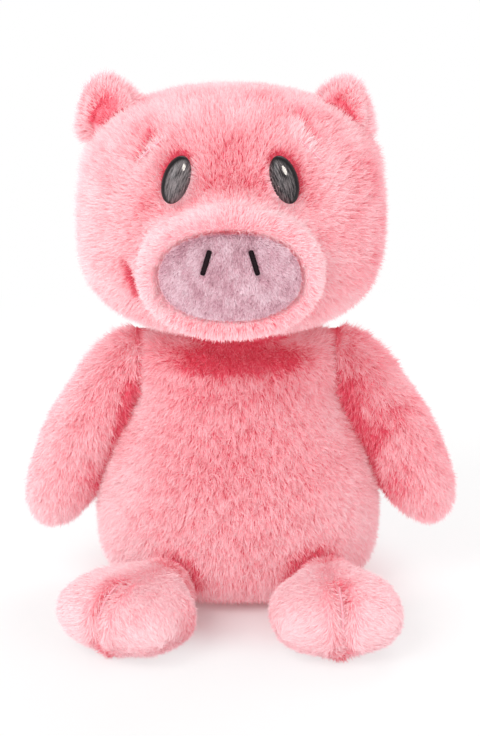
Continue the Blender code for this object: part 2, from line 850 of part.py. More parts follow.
def build_arm(side_name, side, finishes, seam_carrier, carrier):
    """An arm's cover and filling, flat against the body, and the seam ring that it turns on."""
    frame = arm_frame(side)
    origin, axes = frame
    wide, long = 2 * arm_half_width, arm_reach + arm_top

    def inner_block(name, place):
        return block(name, frame, (-wide, -wide, -long), (place, wide, long), carrier)

    face = inner_block(f"arm_face_{side_name}", arm_face)
    lifted = np.array(Matrix.Rotation(side * -arm_lift, 3, Vector((0.0, -1.0, 0.0))))
    lift_frame = (lift_axis(side), axes @ lifted.T)
    room_low, room_high = (-wide, -wide, -long), (0.0, wide, 0.0)
    above = block(f"arm_lift_room_{side_name}", lift_frame, room_low, room_high, carrier)

    cover = arm_form(f"arm_cover_{side_name}", side, 0.0, limb_rings, limb_sides, finishes["fur"], carrier)
    room = arm_form(
        f"arm_room_{side_name}", side, -cover_wall, limb_filling_rings, limb_filling_sides, None, carrier
    )
    cut(room, inner_block(f"arm_wall_{side_name}", arm_face + cover_wall))
    across = (origin, axes[[1, 2, 0]])
    opening = cylinder(
        f"arm_opening_{side_name}",
        across,
        arm_opening_radius,
        -overrun,
        arm_face + cover_wall + overrun,
        None,
        carrier,
    )
    cut(cover, face, above, room, opening)
    filling = arm_form(
        f"arm_stuffing_{side_name}",
        side,
        -cover_wall - gap,
        limb_filling_rings,
        limb_filling_sides,
        finishes["stuffing"],
        carrier,
    )
    cut(filling, inner_block(f"arm_filling_face_{side_name}", arm_face + cover_wall + gap))
    route = ring_route(across, arm_seam_radius, arm_thread_radius, seam_sides)
    add_tube(
        f"shoulder_seam_{side_name}",
        route,
        arm_thread_radius,
        finishes["thread"],
        seam_carrier,
        closed=True,
        sides=1,
    )


# Legs.


def body_skin_points():
    """Closely spaced points on the body's skin."""
    return body_points(0.0, skin_rings, skin_sides).reshape(-1, 3)


def hip_centre(side):
    """Where a leg's round end just touches the body's front, with the clearance between them."""
    skin = body_skin_points()
    low, high = 0.0, 2 * body_half_width
    for _ in range(seating_steps):
        forward = (low + high) / 2
        centre = np.array((side * hip_offsets[side], -forward, hip_radius - floor_sink))
        near = np.min(np.linalg.norm(skin - centre, axis=1))
        inside = abs(centre[1]) < body_half_depth_at(centre[2])
        low, high = (forward, high) if inside or near < hip_radius + gap else (low, forward)
    nearest = skin[np.argmin(np.linalg.norm(skin - centre, axis=1))]
    return centre, (nearest - centre) / np.linalg.norm(nearest - centre)


def leg_frame(side, splay, centre):
    """A frame at the hip: across the foot, up, and forward along the leg."""
    ahead = (side * math.sin(splay), -math.cos(splay), 0.0)
    across = (math.cos(splay), side * math.sin(splay), 0.0)
    return (centre[0], centre[1], 0.0), np.array([across, (0.0, 0.0, 1.0), ahead])


def leg_points(toe_half_width, grow, rings, sides):
    """A ball at the hip that spreads into a broad foot, drawn in between its two toes."""
    along = along_axis(-hip_radius - grow, leg_length + grow, rings)
    spread = ease((along - toe_spread_start) / (toe_spread_end - toe_spread_start))
    hip = hip_radius + grow
    back = taper(np.clip(-along / hip, 0, 1), 2.0, 2.0)
    round_share = np.clip((along - leg_length + toe_round_length) / (toe_round_length + grow), 0, 1)
    drop_share = np.clip((along - leg_length + toe_drop_length) / (toe_drop_length + grow), 0, 1)
    wide = (hip + (toe_half_width - hip_radius) * spread) * back * taper(round_share, *toe_round_shares)
    full_height = hip_radius + (toe_half_height - hip_radius) * spread
    high = (full_height + grow) * back * taper(drop_share, *toe_drop_shares)
    outline = 2.0 + toe_squareness_share * spread
    points = section_points(along, wide, high, 0 * along, full_height - floor_sink, outline, sides)

    sideways = points[..., 0] * toe_half_width / (toe_half_width + grow)
    ahead = points[..., 2] * leg_length / (leg_length + grow)
    forward = ease((ahead - cleft_start) / (leg_length - cleft_start))
    drawn = cleft_depth * forward * np.exp(-((sideways / cleft_half_width) ** 2))
    rise = (points[..., 1] - (full_height - floor_sink)[:, None]) / (hip_radius + grow)
    points[..., 1] -= drawn * np.clip(rise, 0, 1)
    points[..., 2] -= drawn * taper(rise, 2.0, 2.0) * forward
    return points


def leg_form(name, side, frame, grow, rings, sides, finish, carrier):
    points = leg_points(toe_half_widths[side], grow, rings, sides)
    return closed_form(name, points, frame, finish, carrier)


def toe_thread_route(frame, points):
    """A line that lies in the cleft, from the instep down to the toes' front."""
    origin, axes = frame
    ridge = points[:, foot_sides // 4, 1:]
    ridge = ridge[ridge[:, 1] > leg_length * toe_thread_start_share]
    along = np.gradient(ridge, axis=0)
    out = np.column_stack([along[:, 1], -along[:, 0]]) / np.linalg.norm(along, axis=1)[:, None]
    clear = (gap + toe_thread_radius) / math.cos(math.atan(cleft_depth / cleft_half_width))
    ridge = ridge + out * clear
    return np.array(origin) + np.column_stack([np.zeros(len(ridge)), ridge]) @ np.array(axes)


def build_leg(side_name, side, splay, ground, finishes, root, carrier, hip):
    """A leg's cover and filling, round at the hip, and the seam that ties it to the body."""
    centre, inward = hip
    frame = leg_frame(side, splay, centre)
    cover = leg_form(
        f"leg_cover_{side_name}", side, frame, 0.0, foot_rings, foot_sides, finishes["fur"], carrier
    )
    room = leg_form(
        f"leg_room_{side_name}", side, frame, -cover_wall, limb_filling_rings, limb_filling_sides, None, carrier
    )
    side_axis = Vector(inward).cross(Vector((0.0, 0.0, 1.0))).normalized()
    seam_frame = (centre, np.array([tuple(side_axis), tuple(side_axis.cross(Vector(inward))), inward]))
    opening = cylinder(
        f"leg_opening_{side_name}",
        seam_frame,
        leg_opening_radius,
        hip_radius - cover_wall - overrun,
        hip_radius + overrun,
        None,
        carrier,
    )
    cut(cover, room, opening, ground)
    leg_form(
        f"leg_stuffing_{side_name}",
        side,
        frame,
        -cover_wall - gap,
        limb_filling_rings,
        limb_filling_sides,
        finishes["stuffing"],
        carrier,
    )
    route = toe_thread_route(frame, leg_points(toe_half_widths[side], 0.0, foot_rings, foot_sides))
    add_tube(f"toe_stitch_{side_name}", route, toe_thread_radius, finishes["thread"], carrier, sides=1)
    clear_of_hip = hip_radius + gap + hip_thread_radius
    place = math.sqrt(clear_of_hip**2 - hip_seam_radius**2)
    route = ring_route(seam_frame, hip_seam_radius, place, seam_sides)
    add_tube(
        f"hip_seam_{side_name}", route, hip_thread_radius, finishes["thread"], root, closed=True, sides=1
    )


# Tail.


def build_tail(finishes, carrier, base):
    """A tube with a rounded root that bends into one open curl."""
    share = np.linspace(0, 1, tail_points)
    turn = 2 * math.pi * tail_turns * share
    bend = tail_curl_radius * ease(share / tail_curl_start_share)
    back = tail_radius + tail_curl_length * share
    curl = np.column_stack([bend * np.sin(turn), back, bend * (1 - np.cos(turn))])
    root = np.array([(0.0, place * tail_radius, 0.0) for place in tail_root_place_shares])
    sizes = 1 + (tail_tip_radius / tail_radius - 1) * share
    sizes[-1] *= tail_tip_share
    sizes = np.concatenate([tail_root_size_shares, sizes])
    route = np.array(base) + np.concatenate([root, curl])
    add_tube("tail", route, tail_radius, finishes["fur"], carrier, sizes, sides=2)


def tail_base():
    """The middle of the tail's round root, which just clears the body's back."""
    skin = body_skin_points()
    low, high = 0.0, 2 * body_half_width
    for _ in range(seating_steps):
        back = (low + high) / 2
        centre = np.array((0.0, back, tail_height))
        near = np.min(np.linalg.norm(skin - centre, axis=1))
        inside = back < body_half_depth_at(tail_height)
        low, high = (back, high) if inside or near < tail_radius + gap else (low, back)
    return tuple(centre)


def main():
    clear_scene()
    finishes = {
        "fur": material("pink_fur", (0.93, 0.38, 0.45), 0.9),
        "snout": material("lilac_short_pile", (0.74, 0.50, 0.56), 0.85),
        "lining": material("ear_lining_pile", (0.85, 0.27, 0.34), 0.85),
        "eye": material("eye_plastic", (0.045, 0.04, 0.045), 0.12),
        "washer": material("washer_plastic", (0.85, 0.85, 0.83), 0.4),
        "nostril": material("nostril_thread", (0.02, 0.01, 0.015), 0.5),
        "thread": material("sewing_thread", (0.80, 0.22, 0.30), 0.6),
        "stuffing": material("polyester_stuffing", (0.88, 0.88, 0.86), 0.95),
        "cotton": material("pellet_bag_cotton", (0.80, 0.76, 0.68), 0.9),
    }
    root = pivot("body", (0.0, 0.0, 0.0))
    ground = build_body(root, finishes)
    neck = pivot("neck", (0.0, 0.0, neck_height), root)
    build_neck(finishes, neck)
    head = pivot("head", (0.0, 0.0, neck_height), neck)
    ears = {}
    for name, side in (("left", -1), ("right", 1)):
        ears[side] = pivot(f"ear_root_{name}", ear_frame(side)[0], head)
    build_head(finishes, head, ears)
    for name, side, splay in (("left", -1, leg_splay_left), ("right", 1, leg_splay_right)):
        shoulder = pivot(f"shoulder_{name}", arm_frame(side)[0], root)
        arm = pivot(f"arm_{name}", lift_axis(side), shoulder)
        build_arm(name, side, finishes, shoulder, arm)
        hip = hip_centre(side)
        leg = pivot(f"leg_{name}", hip[0], root)
        build_leg(name, side, splay, ground, finishes, root, leg, hip)
    base = tail_base()
    build_tail(finishes, pivot("tail_root", base, root), base)


main()
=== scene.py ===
import math

import bmesh
import bpy
import numpy as np
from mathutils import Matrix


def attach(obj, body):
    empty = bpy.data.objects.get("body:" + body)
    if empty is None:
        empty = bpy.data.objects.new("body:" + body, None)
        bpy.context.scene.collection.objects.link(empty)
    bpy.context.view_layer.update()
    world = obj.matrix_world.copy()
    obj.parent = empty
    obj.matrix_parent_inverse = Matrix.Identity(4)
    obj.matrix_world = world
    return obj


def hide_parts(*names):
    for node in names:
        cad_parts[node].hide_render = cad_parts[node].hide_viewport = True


# A seated plush pig. The sizes below are in millimetres, and makeMesh turns them into metres.
# Left and right are the viewer's, and the pig faces -Y.

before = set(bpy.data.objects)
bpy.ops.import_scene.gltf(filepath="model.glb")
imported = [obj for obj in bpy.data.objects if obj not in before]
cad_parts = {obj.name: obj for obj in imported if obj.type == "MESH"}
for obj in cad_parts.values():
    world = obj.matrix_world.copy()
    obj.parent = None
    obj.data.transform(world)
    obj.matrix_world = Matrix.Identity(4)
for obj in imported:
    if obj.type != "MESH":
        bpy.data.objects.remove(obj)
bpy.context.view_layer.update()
print("frame loaded")

toMetres = 0.001
regionTones = 8
randomTones = 8
toneColumns = regionTones * randomTones   # columns of the strand map: each regional tone with its random ones
strandsPerPiece = 95000                   # keeps a fur piece under 200,000 triangles


# small sums

def taper(share, swell, roundOff):
    # (1 - |share|^swell)^(1/roundOff): what is left of the full width towards an end
    return np.maximum(1 - np.abs(share) ** swell, 0) ** (1 / roundOff)


def ease(share):
    # 3s^2 - 2s^3, with s kept between 0 and 1
    share = np.clip(share, 0, 1)
    return share * share * (3 - 2 * share)


def bell(distance, width):
    # exp(-(d/w)^2)
    return np.exp(-(distance / width) ** 2)


def alongAxis(low, high, rings):
    # middle + reach * sin(t), t from -90 to 90 degrees: closer together near both ends
    middle, reach = (low + high) / 2, (high - low) / 2
    return middle + reach * np.sin(np.linspace(-math.pi / 2, math.pi / 2, rings + 1))


def unit(vectors):
    # v / |v|
    return vectors / np.maximum(np.linalg.norm(vectors, axis=-1, keepdims=True), 1e-9)


def alongSkin(direction, normals):
    # d - n (n.d), made a unit vector: a direction laid down on the skin
    return unit(direction - normals * np.sum(direction * normals, -1, keepdims=True))


def waves(points, length, seed, count=9):
    # sum of sin(2 pi k.p / w + phase) over seeded directions k and lengths w near the given one
    dice = np.random.default_rng(seed)
    total = np.zeros(points.shape)
    for _ in range(count):
        way = unit(dice.normal(size=3)) / (length * dice.uniform(0.7, 1.5))
        swing = np.sin(2 * math.pi * (points @ way) + dice.uniform(0, 2 * math.pi))
        total += swing[..., None] * dice.normal(size=3)
    return total / math.sqrt(count)


def ripple(points, length, seed):
    # the first part of waves alone
    return waves(points, length, seed)[:, 0]


def ovalShare(across, up, halfWidth, halfHeight, power):
    # (|a/A|^p + |b/B|^p)^(1/p): 1 on the oval's edge and less inside it
    return (np.abs(across / halfWidth) ** power + np.abs(up / halfHeight) ** power) ** (1 / power)


def superSection(along, halfA, halfB, sides, outline=2.0, shiftA=0.0, shiftB=0.0):
    # rows of |a/A|^o + |b/B|^o = 1 about a shifted centre, square to the third axis
    turn = np.linspace(0, 2 * math.pi, sides, endpoint=False)[None, :]
    outline = np.broadcast_to(outline, along.shape)[:, None]
    spread = (np.abs(np.cos(turn)) ** outline + np.abs(np.sin(turn)) ** outline) ** (-1 / outline)
    points = np.empty((len(along), sides, 3))
    points[..., 0] = np.asarray(shiftA)[..., None] + np.asarray(halfA)[:, None] * spread * np.cos(turn)
    points[..., 1] = np.asarray(shiftB)[..., None] + np.asarray(halfB)[:, None] * spread * np.sin(turn)
    points[..., 2] = along[:, None]
    return points


def placed(points, origin, axes):
    # origin + a*axisA + b*axisB + c*axisC
    return np.asarray(origin, float) + points @ np.asarray(axes, float)


# meshes

def addObject(name, mesh, material):
    made = bpy.data.objects.new(name, mesh)
    bpy.context.scene.collection.objects.link(made)
    mesh.materials.append(material)
    return made


def enter(piece, body, nodes=()):
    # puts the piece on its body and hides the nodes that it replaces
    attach(piece, body)
    if nodes:
        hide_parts(*nodes)


def makeMesh(name, vertices, corners, starts, material, maps=None, smooth=True):
    mesh = bpy.data.meshes.new(name)
    mesh.vertices.add(len(vertices))
    mesh.vertices.foreach_set("co", (np.asarray(vertices) * toMetres).astype(np.float32).ravel())
    mesh.loops.add(len(corners))
    mesh.loops.foreach_set("vertex_index", np.asarray(corners, np.int32))
    mesh.polygons.add(len(starts))
    mesh.polygons.foreach_set("loop_start", np.asarray(starts, np.int32))
    mesh.update(calc_edges=True)
    for mapName, values in (maps or {}).items():
        layer = mesh.uv_layers.new(name=mapName)
        layer.uv.foreach_set("vector", values.astype(np.float32).ravel())
    if smooth:
        mesh.shade_smooth()
    return addObject(name, mesh, material)


def gridNormals(points):
    # cross product of the differences along and round the grid, turned outwards
    along = np.gradient(points, axis=0)
    around = np.roll(points, -1, 1) - np.roll(points, 1, 1)
    normals = unit(np.cross(around, along))
    inner = points[1:-1]
    if np.sum(normals[1:-1] * (inner - inner.mean((0, 1)))) < 0:
        normals = -normals
    normals[0] = unit(normals[1].mean(0))
    normals[-1] = unit(normals[-2].mean(0))
    return normals


def gridMesh(name, points, material, maps=None):
    # rows joined into quads, and the first and last rows closed at one point each
    rows, sides = points.shape[:2]
    vertices = np.concatenate([points[:1, 0], points[1:-1].reshape(-1, 3), points[-1:, 0]])
    here = np.arange(sides)
    after = (here + 1) % sides
    row = 1 + np.arange(rows - 3)[:, None] * sides
    quads = np.stack([row + here, row + after, row + sides + after, row + sides + here], -1).reshape(-1, 4)
    lowFan = np.column_stack([np.zeros(sides, int), 1 + after, 1 + here])
    top = 1 + (rows - 3) * sides
    highFan = np.column_stack([top + here, top + after, np.full(sides, len(vertices) - 1)])
    a, b, c, d = (vertices[quads[:, i]] for i in range(4))
    volume = np.sum(np.cross(a, b) * c) + np.sum(np.cross(a, c) * d)
    if volume < 0:
        quads, lowFan, highFan = quads[:, ::-1], lowFan[:, ::-1], highFan[:, ::-1]
    corners = np.concatenate([quads.ravel(), lowFan.ravel(), highFan.ravel()])
    starts = np.concatenate([np.arange(len(quads)) * 4, len(quads) * 4 + np.arange(2 * sides) * 3])
    if maps is not None:
        flat = np.concatenate([maps[:1, 0], maps[1:-1].reshape(-1, 2), maps[-1:, 0]])
        maps = {"face": flat[corners]}
    return makeMesh(name, vertices, corners, starts, material, maps)


def toneMap(grid, coat):
    # the backing's share of pale colour: the tone of the fur on it, eased between 0.25 and 0.95, painted shade
    # and light included
    tone = coat(grid.reshape(-1, 3), gridNormals(grid).reshape(-1, 3))["tone"].reshape(grid.shape[:2])
    return np.stack([ease((tone - 0.25) / 0.7), 0.5 + 0 * tone], -1)


strand = {
    "thinned": 0.35, "shortest": 0.60, "longest": 1.20, "rootDepth": 0.4, "liftSpread": 0.08, "twist": 0.9,
    "wideClump": 3.2, "wideClumpShare": 0.6, "middleOffFloor": 0.4, "tipOffFloor": 0.2, "columnShare": 0.35,
}


def growFur(name, points, look, coat, body, material=None):
    # Strands rooted evenly over the grid. Each is a narrow kite of two triangles, bent at its middle:
    # middle = root + L/2 * first way, tip = middle + L/2 * second way, and a way is
    # normal * sin(lift) + comb * cos(lift) + clump + jitter. The second way's lift is less by the bend.
    dice = np.random.default_rng(look["seed"])
    normals = gridNormals(points)
    nextSide = (np.arange(points.shape[1]) + 1) % points.shape[1]
    p00, p01 = points[:-1], points[:-1][:, nextSide]
    p10, p11 = points[1:], points[1:][:, nextSide]
    area = np.linalg.norm(np.cross(p11 - p00, p10 - p01), axis=-1).ravel() / 2
    middles = ((p00 + p01 + p10 + p11) / 4).reshape(-1, 3)
    wayOut = normals[:-1] + normals[1:] + normals[:-1][:, nextSide] + normals[1:][:, nextSide]
    area = area * coat(middles, unit(wayOut.reshape(-1, 3)))["keep"]
    reach = np.cumsum(area)
    density = look["density"] * 1.0
    count = int(reach[-1] * density)
    spots = (np.arange(count) + dice.random(count)) * (reach[-1] / count)
    cell = np.minimum(np.searchsorted(reach, spots), len(area) - 1)
    row, side = np.divmod(cell, points.shape[1])
    s, t = dice.random((2, count, 1))
    weights = ((1 - s) * (1 - t), (1 - s) * t, s * (1 - t), s * t)
    corners = ((row, side), (row, nextSide[side]), (row + 1, side), (row + 1, nextSide[side]))
    place = sum(w * points[c] for w, c in zip(weights, corners))
    normal = unit(sum(w * normals[c] for w, c in zip(weights, corners)))
    lie = coat(place, normal)
    comb, tone, size = lie["comb"], lie["tone"], lie["size"]
    clump = waves(place, look["clump"], look["seed"] + 1) * look["clumpPull"]
    wide = waves(place, look["clump"] * strand["wideClump"], look["seed"] + 2)
    clump += wide * look["clumpPull"] * strand["wideClumpShare"]
    jitter = dice.normal(size=(count, 3)) * look["jitter"]
    length = (look["length"] * size * dice.uniform(strand["shortest"], strand["longest"], count))[:, None]
    lift = np.radians(look["lift"] + lie.get("liftMore", 0.0)) + dice.normal(size=count) * strand["liftSpread"]
    first = unit(normal * np.sin(lift)[:, None] + comb * np.cos(lift)[:, None] + clump * 0.5 + jitter * 0.5)
    lift = lift - np.radians(look["bend"] + lie.get("bendMore", 0.0))
    second = unit(normal * np.sin(lift)[:, None] + comb * np.cos(lift)[:, None] + clump + jitter)
    base = place - normal * strand["rootDepth"]
    middle = place + first * length * 0.5
    tip = middle + second * length * 0.5
    middle[:, 2] = np.maximum(middle[:, 2], strand["middleOffFloor"])
    tip[:, 2] = np.maximum(tip[:, 2], strand["tipOffFloor"])
    across = unit(np.cross(first, normal + strand["twist"] * dice.normal(size=(count, 3)))) * look["width"] / 2
    vertices = np.stack([base, middle - across, middle + across, tip], 1)
    region = np.clip(tone * regionTones + dice.uniform(-0.5, 0.5, count), 0, regionTones - 1).astype(int)
    column = (region * randomTones + dice.integers(0, randomTones, count) + 0.5) / toneColumns
    edge = strand["columnShare"] / toneColumns
    u = np.stack([column, column + edge, column - edge, column - edge, column + edge, column], 1)
    v = np.broadcast_to(np.array([0.03, 0.5, 0.5, 0.5, 0.5, 0.97]), u.shape)
    maps = np.stack([u, v], -1)
    pieces = math.ceil(count / strandsPerPiece)
    for index, part in enumerate(np.array_split(np.arange(count), pieces)):
        corner = np.arange(len(part))[:, None] * 4 + np.array([0, 2, 1, 1, 2, 3])
        fur = makeMesh(
            f"{name}{index + 1}" if pieces > 1 else name,
            vertices[part].reshape(-1, 3), corner.ravel(), np.arange(2 * len(part)) * 3,
            material or furMaterial, {"strand": maps[part], "OFBake": maps[part]}, smooth=False,
        )
        enter(fur, body)
    print(f"{name}: {count} strands")


def dress(part, title, grid, look, coat, body, nodes):
    # a swollen skin whose backing takes the fur's tone, and the fur rooted on it
    skin = gridMesh(f"{part}Skin{title}", grid, skinMaterial, toneMap(grid, coat))
    enter(skin, body, nodes)
    growFur(f"{part}Fur{title}", grid, look, coat, body)


# shared node groups

def fill(tree, socket, value):
    # a socket takes a link from another socket, or a constant; a colour gets its alpha here
    if isinstance(value, bpy.types.NodeSocket):
        tree.links.new(value, socket)
    else:
        socket.default_value = (*value, 1) if socket.type == "RGBA" else value


def addNode(tree, kind, given, **settings):
    # a node with its settings, and its inputs filled by name or number
    node = tree.nodes.new("ShaderNode" + kind)
    for label, value in settings.items():
        setattr(node, label, value)
    for label, value in given.items():
        fill(tree, node.inputs[label], value)
    return node


def mathNode(tree, operation, first, second, clamp=False):
    return addNode(tree, "Math", {0: first, 1: second}, operation=operation, use_clamp=clamp).outputs[0]


def mixColour(tree, share, first, second):
    return addNode(tree, "Mix", {0: share, 6: first, 7: second}, data_type="RGBA").outputs[2]


def ranged(tree, value, low, high, toLow=0.0, smooth=True):
    # moves low..high to toLow..1
    given = {"Value": value, "From Min": low, "From Max": high, "To Min": toLow}
    return addNode(tree, "MapRange", given, interpolation_type="SMOOTHSTEP" if smooth else "LINEAR").outputs[0]


def bumped(tree, height, strength, distance):
    return addNode(tree, "Bump", {"Height": height, "Strength": strength, "Distance": distance}).outputs[0]


def newGroup(name, inputs, outputs):
    group = bpy.data.node_groups.new(name, "ShaderNodeTree")
    for label, kind in inputs.items():
        group.interface.new_socket(label, in_out="INPUT", socket_type=kind)
    for label, kind in outputs.items():
        group.interface.new_socket(label, in_out="OUTPUT", socket_type=kind)
    return group, group.nodes.new("NodeGroupInput").outputs, group.nodes.new("NodeGroupOutput").inputs


def makeStrandShade():
    # Root to tip colour of a strand: its place along the strand, moved up by the region's tone and by its own.
    # Its darker root is partly painted shade deep in the pile. The two lowest regions, which lie in creases,
    # move down further: painted crease shade.
    colour, number = "NodeSocketColor", "NodeSocketFloat"
    tree, given, out = newGroup(
        "strandShade",
        {"Map": "NodeSocketVector", "Root": colour, "Middle": colour, "Tip": colour,
         "Region Spread": number, "Strand Spread": number, "Crease Shade": number},
        {"Color": colour},
    )
    place = addNode(tree, "SeparateXYZ", {0: given["Map"]}).outputs
    column = mathNode(tree, "FLOOR", mathNode(tree, "MULTIPLY", place[0], toneColumns), 0.5)
    region = mathNode(tree, "FLOOR", mathNode(tree, "DIVIDE", column, randomTones), 0.5)
    own = mathNode(tree, "SUBTRACT", column, mathNode(tree, "MULTIPLY", region, randomTones))
    regionShare = mathNode(tree, "SUBTRACT", mathNode(tree, "DIVIDE", region, regionTones - 1), 0.5)
    ownShare = mathNode(tree, "SUBTRACT", mathNode(tree, "DIVIDE", own, randomTones - 1), 0.5)
    shift = mathNode(tree, "ADD", mathNode(tree, "MULTIPLY", regionShare, given["Region Spread"]),
                     mathNode(tree, "MULTIPLY", ownShare, given["Strand Spread"]))
    creaseShade = mathNode(tree, "SUBTRACT", 1.0, mathNode(tree, "MULTIPLY", region, 0.5), clamp=True)
    creaseShade = mathNode(tree, "POWER", creaseShade, 2.0)
    shift = mathNode(tree, "SUBTRACT", shift, mathNode(tree, "MULTIPLY", creaseShade, given["Crease Shade"]))
    climb = mathNode(tree, "ADD", place[1], shift, clamp=True)
    lower = mathNode(tree, "MULTIPLY", climb, 2.0, clamp=True)
    upper = mathNode(tree, "SUBTRACT", mathNode(tree, "MULTIPLY", climb, 2.0), 1.0, clamp=True)
    rootToMiddle = mixColour(tree, lower, given["Root"], given["Middle"])
    fill(tree, out["Color"], mixColour(tree, upper, rootToMiddle, given["Tip"]))
    return tree


def makeMottle():
    # Soft patches: noise on Object coordinates mixes two colours, and it is put out as a height too
    colour, number = "NodeSocketColor", "NodeSocketFloat"
    tree, given, out = newGroup(
        "mottle",
        {"Vector": "NodeSocketVector", "Scale": number, "Dark": colour, "Light": colour},
        {"Color": colour, "Height": number},
    )
    noise = addNode(tree, "TexNoise", {"Vector": given["Vector"], "Scale": given["Scale"], "Detail": 4.0})
    noise = noise.outputs["Fac"]
    share = ranged(tree, noise, 0.32, 0.68, smooth=False)
    fill(tree, out["Color"], mixColour(tree, share, given["Dark"], given["Light"]))
    fill(tree, out["Height"], noise)
    return tree


strandShade = makeStrandShade()
mottle = makeMottle()


def newMaterial(name, given):
    # a Principled material, with its constants under their sockets' names
    material = bpy.data.materials.new(name)
    material.use_nodes = True
    tree = material.node_tree
    shader = tree.nodes["Principled BSDF"]
    for label, value in {"Sheen Roughness": 0.5, "Specular IOR Level": 0.3, **given}.items():
        fill(tree, shader.inputs[label], value)
    return material, tree, shader.inputs


def strandMaterial(name, look, shade):
    # fur or pile; its small glow stands for the light that the fibres pass on to each other
    material, tree, surface = newMaterial(name, {"Roughness": 0.8, "Specular IOR Level": 0.05, **look})
    uv = addNode(tree, "UVMap", {}, uv_map="strand").outputs[0]
    colour = addNode(tree, "Group", {"Map": uv, **shade}, node_tree=strandShade).outputs["Color"]
    fill(tree, surface["Base Color"], colour)
    fill(tree, surface["Emission Color"], colour)
    return material


def mottledMaterial(name, dark, light, scale, roughness, bump, sheen=0.0, stretch=(1, 1, 1), pale=None, glow=0):
    # two colours in soft patches that also rise, over the backing, the threads and the fillings
    material, tree, surface = newMaterial(name, {"Roughness": roughness, "Sheen Weight": sheen})
    where = addNode(tree, "TexCoord", {}).outputs["Object"]
    where = addNode(tree, "Mapping", {"Vector": where, "Scale": stretch}).outputs[0]
    given = {"Vector": where, "Scale": scale, "Dark": dark, "Light": light}
    patch = addNode(tree, "Group", given, node_tree=mottle).outputs
    colour = patch["Color"]
    if pale:
        # the backing follows the tone of the fur that stands on it
        uv = addNode(tree, "UVMap", {}, uv_map="face").outputs[0]
        colour = mixColour(tree, addNode(tree, "SeparateXYZ", {0: uv}).outputs[0], colour, pale)
        # its glow is painted light: it stands for the light that the fibres pass on to the backing
        fill(tree, surface["Emission Color"], colour)
        fill(tree, surface["Emission Strength"], glow)
    fill(tree, surface["Base Color"], colour)
    fill(tree, surface["Normal"], bumped(tree, patch["Height"], bump, 0.0006))
    return material


furMaterial = strandMaterial(
    "pinkFur", {"Sheen Weight": 0.08, "Sheen Tint": (1.0, 0.5, 0.55), "Emission Strength": 0.08},
    {"Root": (0.86, 0.11, 0.18), "Middle": (1.0, 0.53, 0.58), "Tip": (1.0, 0.75, 0.78),
     "Region Spread": 0.75, "Strand Spread": 0.30, "Crease Shade": 0.24},
)
snoutPileMaterial = strandMaterial(
    "lilacPile", {"Sheen Weight": 0.1, "Sheen Tint": (0.95, 0.85, 0.95), "Emission Strength": 0.05},
    {"Root": (0.54, 0.23, 0.31), "Middle": (0.78, 0.48, 0.56), "Tip": (0.93, 0.74, 0.80),
     "Region Spread": 0.5, "Strand Spread": 0.45, "Crease Shade": 0.0},
)
liningPileMaterial = strandMaterial(
    "liningPile", {"Sheen Weight": 0.08, "Sheen Tint": (1.0, 0.6, 0.65), "Emission Strength": 0.12},
    {"Root": (0.74, 0.04, 0.09), "Middle": (1.0, 0.25, 0.33), "Tip": (1.0, 0.50, 0.57),
     "Region Spread": 0.5, "Strand Spread": 0.3, "Crease Shade": 0.0},
)
skinMaterial = mottledMaterial("furBacking", (0.66, 0.06, 0.10), (0.84, 0.14, 0.21), 380, 0.95, 0.4,
                               pale=(1.0, 0.54, 0.60), glow=0.16)
padMaterial = mottledMaterial("lilacBacking", (0.60, 0.34, 0.40), (0.72, 0.46, 0.53), 500, 0.95, 0.3)
liningMaterial = mottledMaterial("liningBacking", (0.78, 0.10, 0.16), (0.92, 0.20, 0.28), 500, 0.95, 0.3)
twist = (1, 1, 2.2)   # stretch of the threads' pattern
threadMaterial = mottledMaterial("pinkThread", (0.80, 0.16, 0.22), (1.0, 0.46, 0.52), 1600, 0.9, 0.6,
                                 stretch=twist)
browThreadMaterial = mottledMaterial("deepPinkThread", (0.96, 0.34, 0.41), (1.0, 0.52, 0.58), 1600, 0.8, 0.6,
                                     stretch=twist)
# crimson thread that paints the shade of the creases where it lies
creaseShadeThreadMaterial = mottledMaterial("creaseShadeThread", (0.62, 0.06, 0.10), (0.86, 0.16, 0.23), 1600, 0.9, 0.6,
                                       stretch=twist)
stuffingMaterial = mottledMaterial("whiteFibre", (0.72, 0.72, 0.70), (0.90, 0.90, 0.88), 260, 0.95, 0.8, 0.3)
cottonMaterial = mottledMaterial("pelletCotton", (0.62, 0.58, 0.50), (0.82, 0.79, 0.71), 900, 0.9, 0.7)
washerMaterial = mottledMaterial("whiteNylon", (0.70, 0.70, 0.68), (0.84, 0.84, 0.82), 300, 0.4, 0.1)
print("materials made")


# body

body = {
    "height": 137.0, "swellHeight": 35.5, "chestHeight": 118.0,
    "halfWidth": 70.0, "chestHalfWidth": 47.5, "depthShare": 0.80, "chestDepthShare": 0.86,
    "skinInset": 2.8, "rows": 110, "sides": 190, "neckHeight": 120.0, "neckRadius": 32.0,
    "fur": {"density": 5.3, "length": 5.8, "width": 0.38, "lift": 60, "bend": 20, "clump": 2.4,
            "clumpPull": 0.26, "jitter": 0.30, "seed": 11},
    "tones": {"base": 0.55, "patches": 0.10, "mottle": 0.06, "bellyShade": 0.20, "chinShadow": 0.60, "chestShade": 0.14,
              "seat": 0.50, "hip": 0.60, "left": 0.34, "right": 0.10, "underArmShadow": 0.10, "armCreaseShade": 0.45},
}
neckCentre = np.array([0.0, 0.0, body["neckHeight"]])


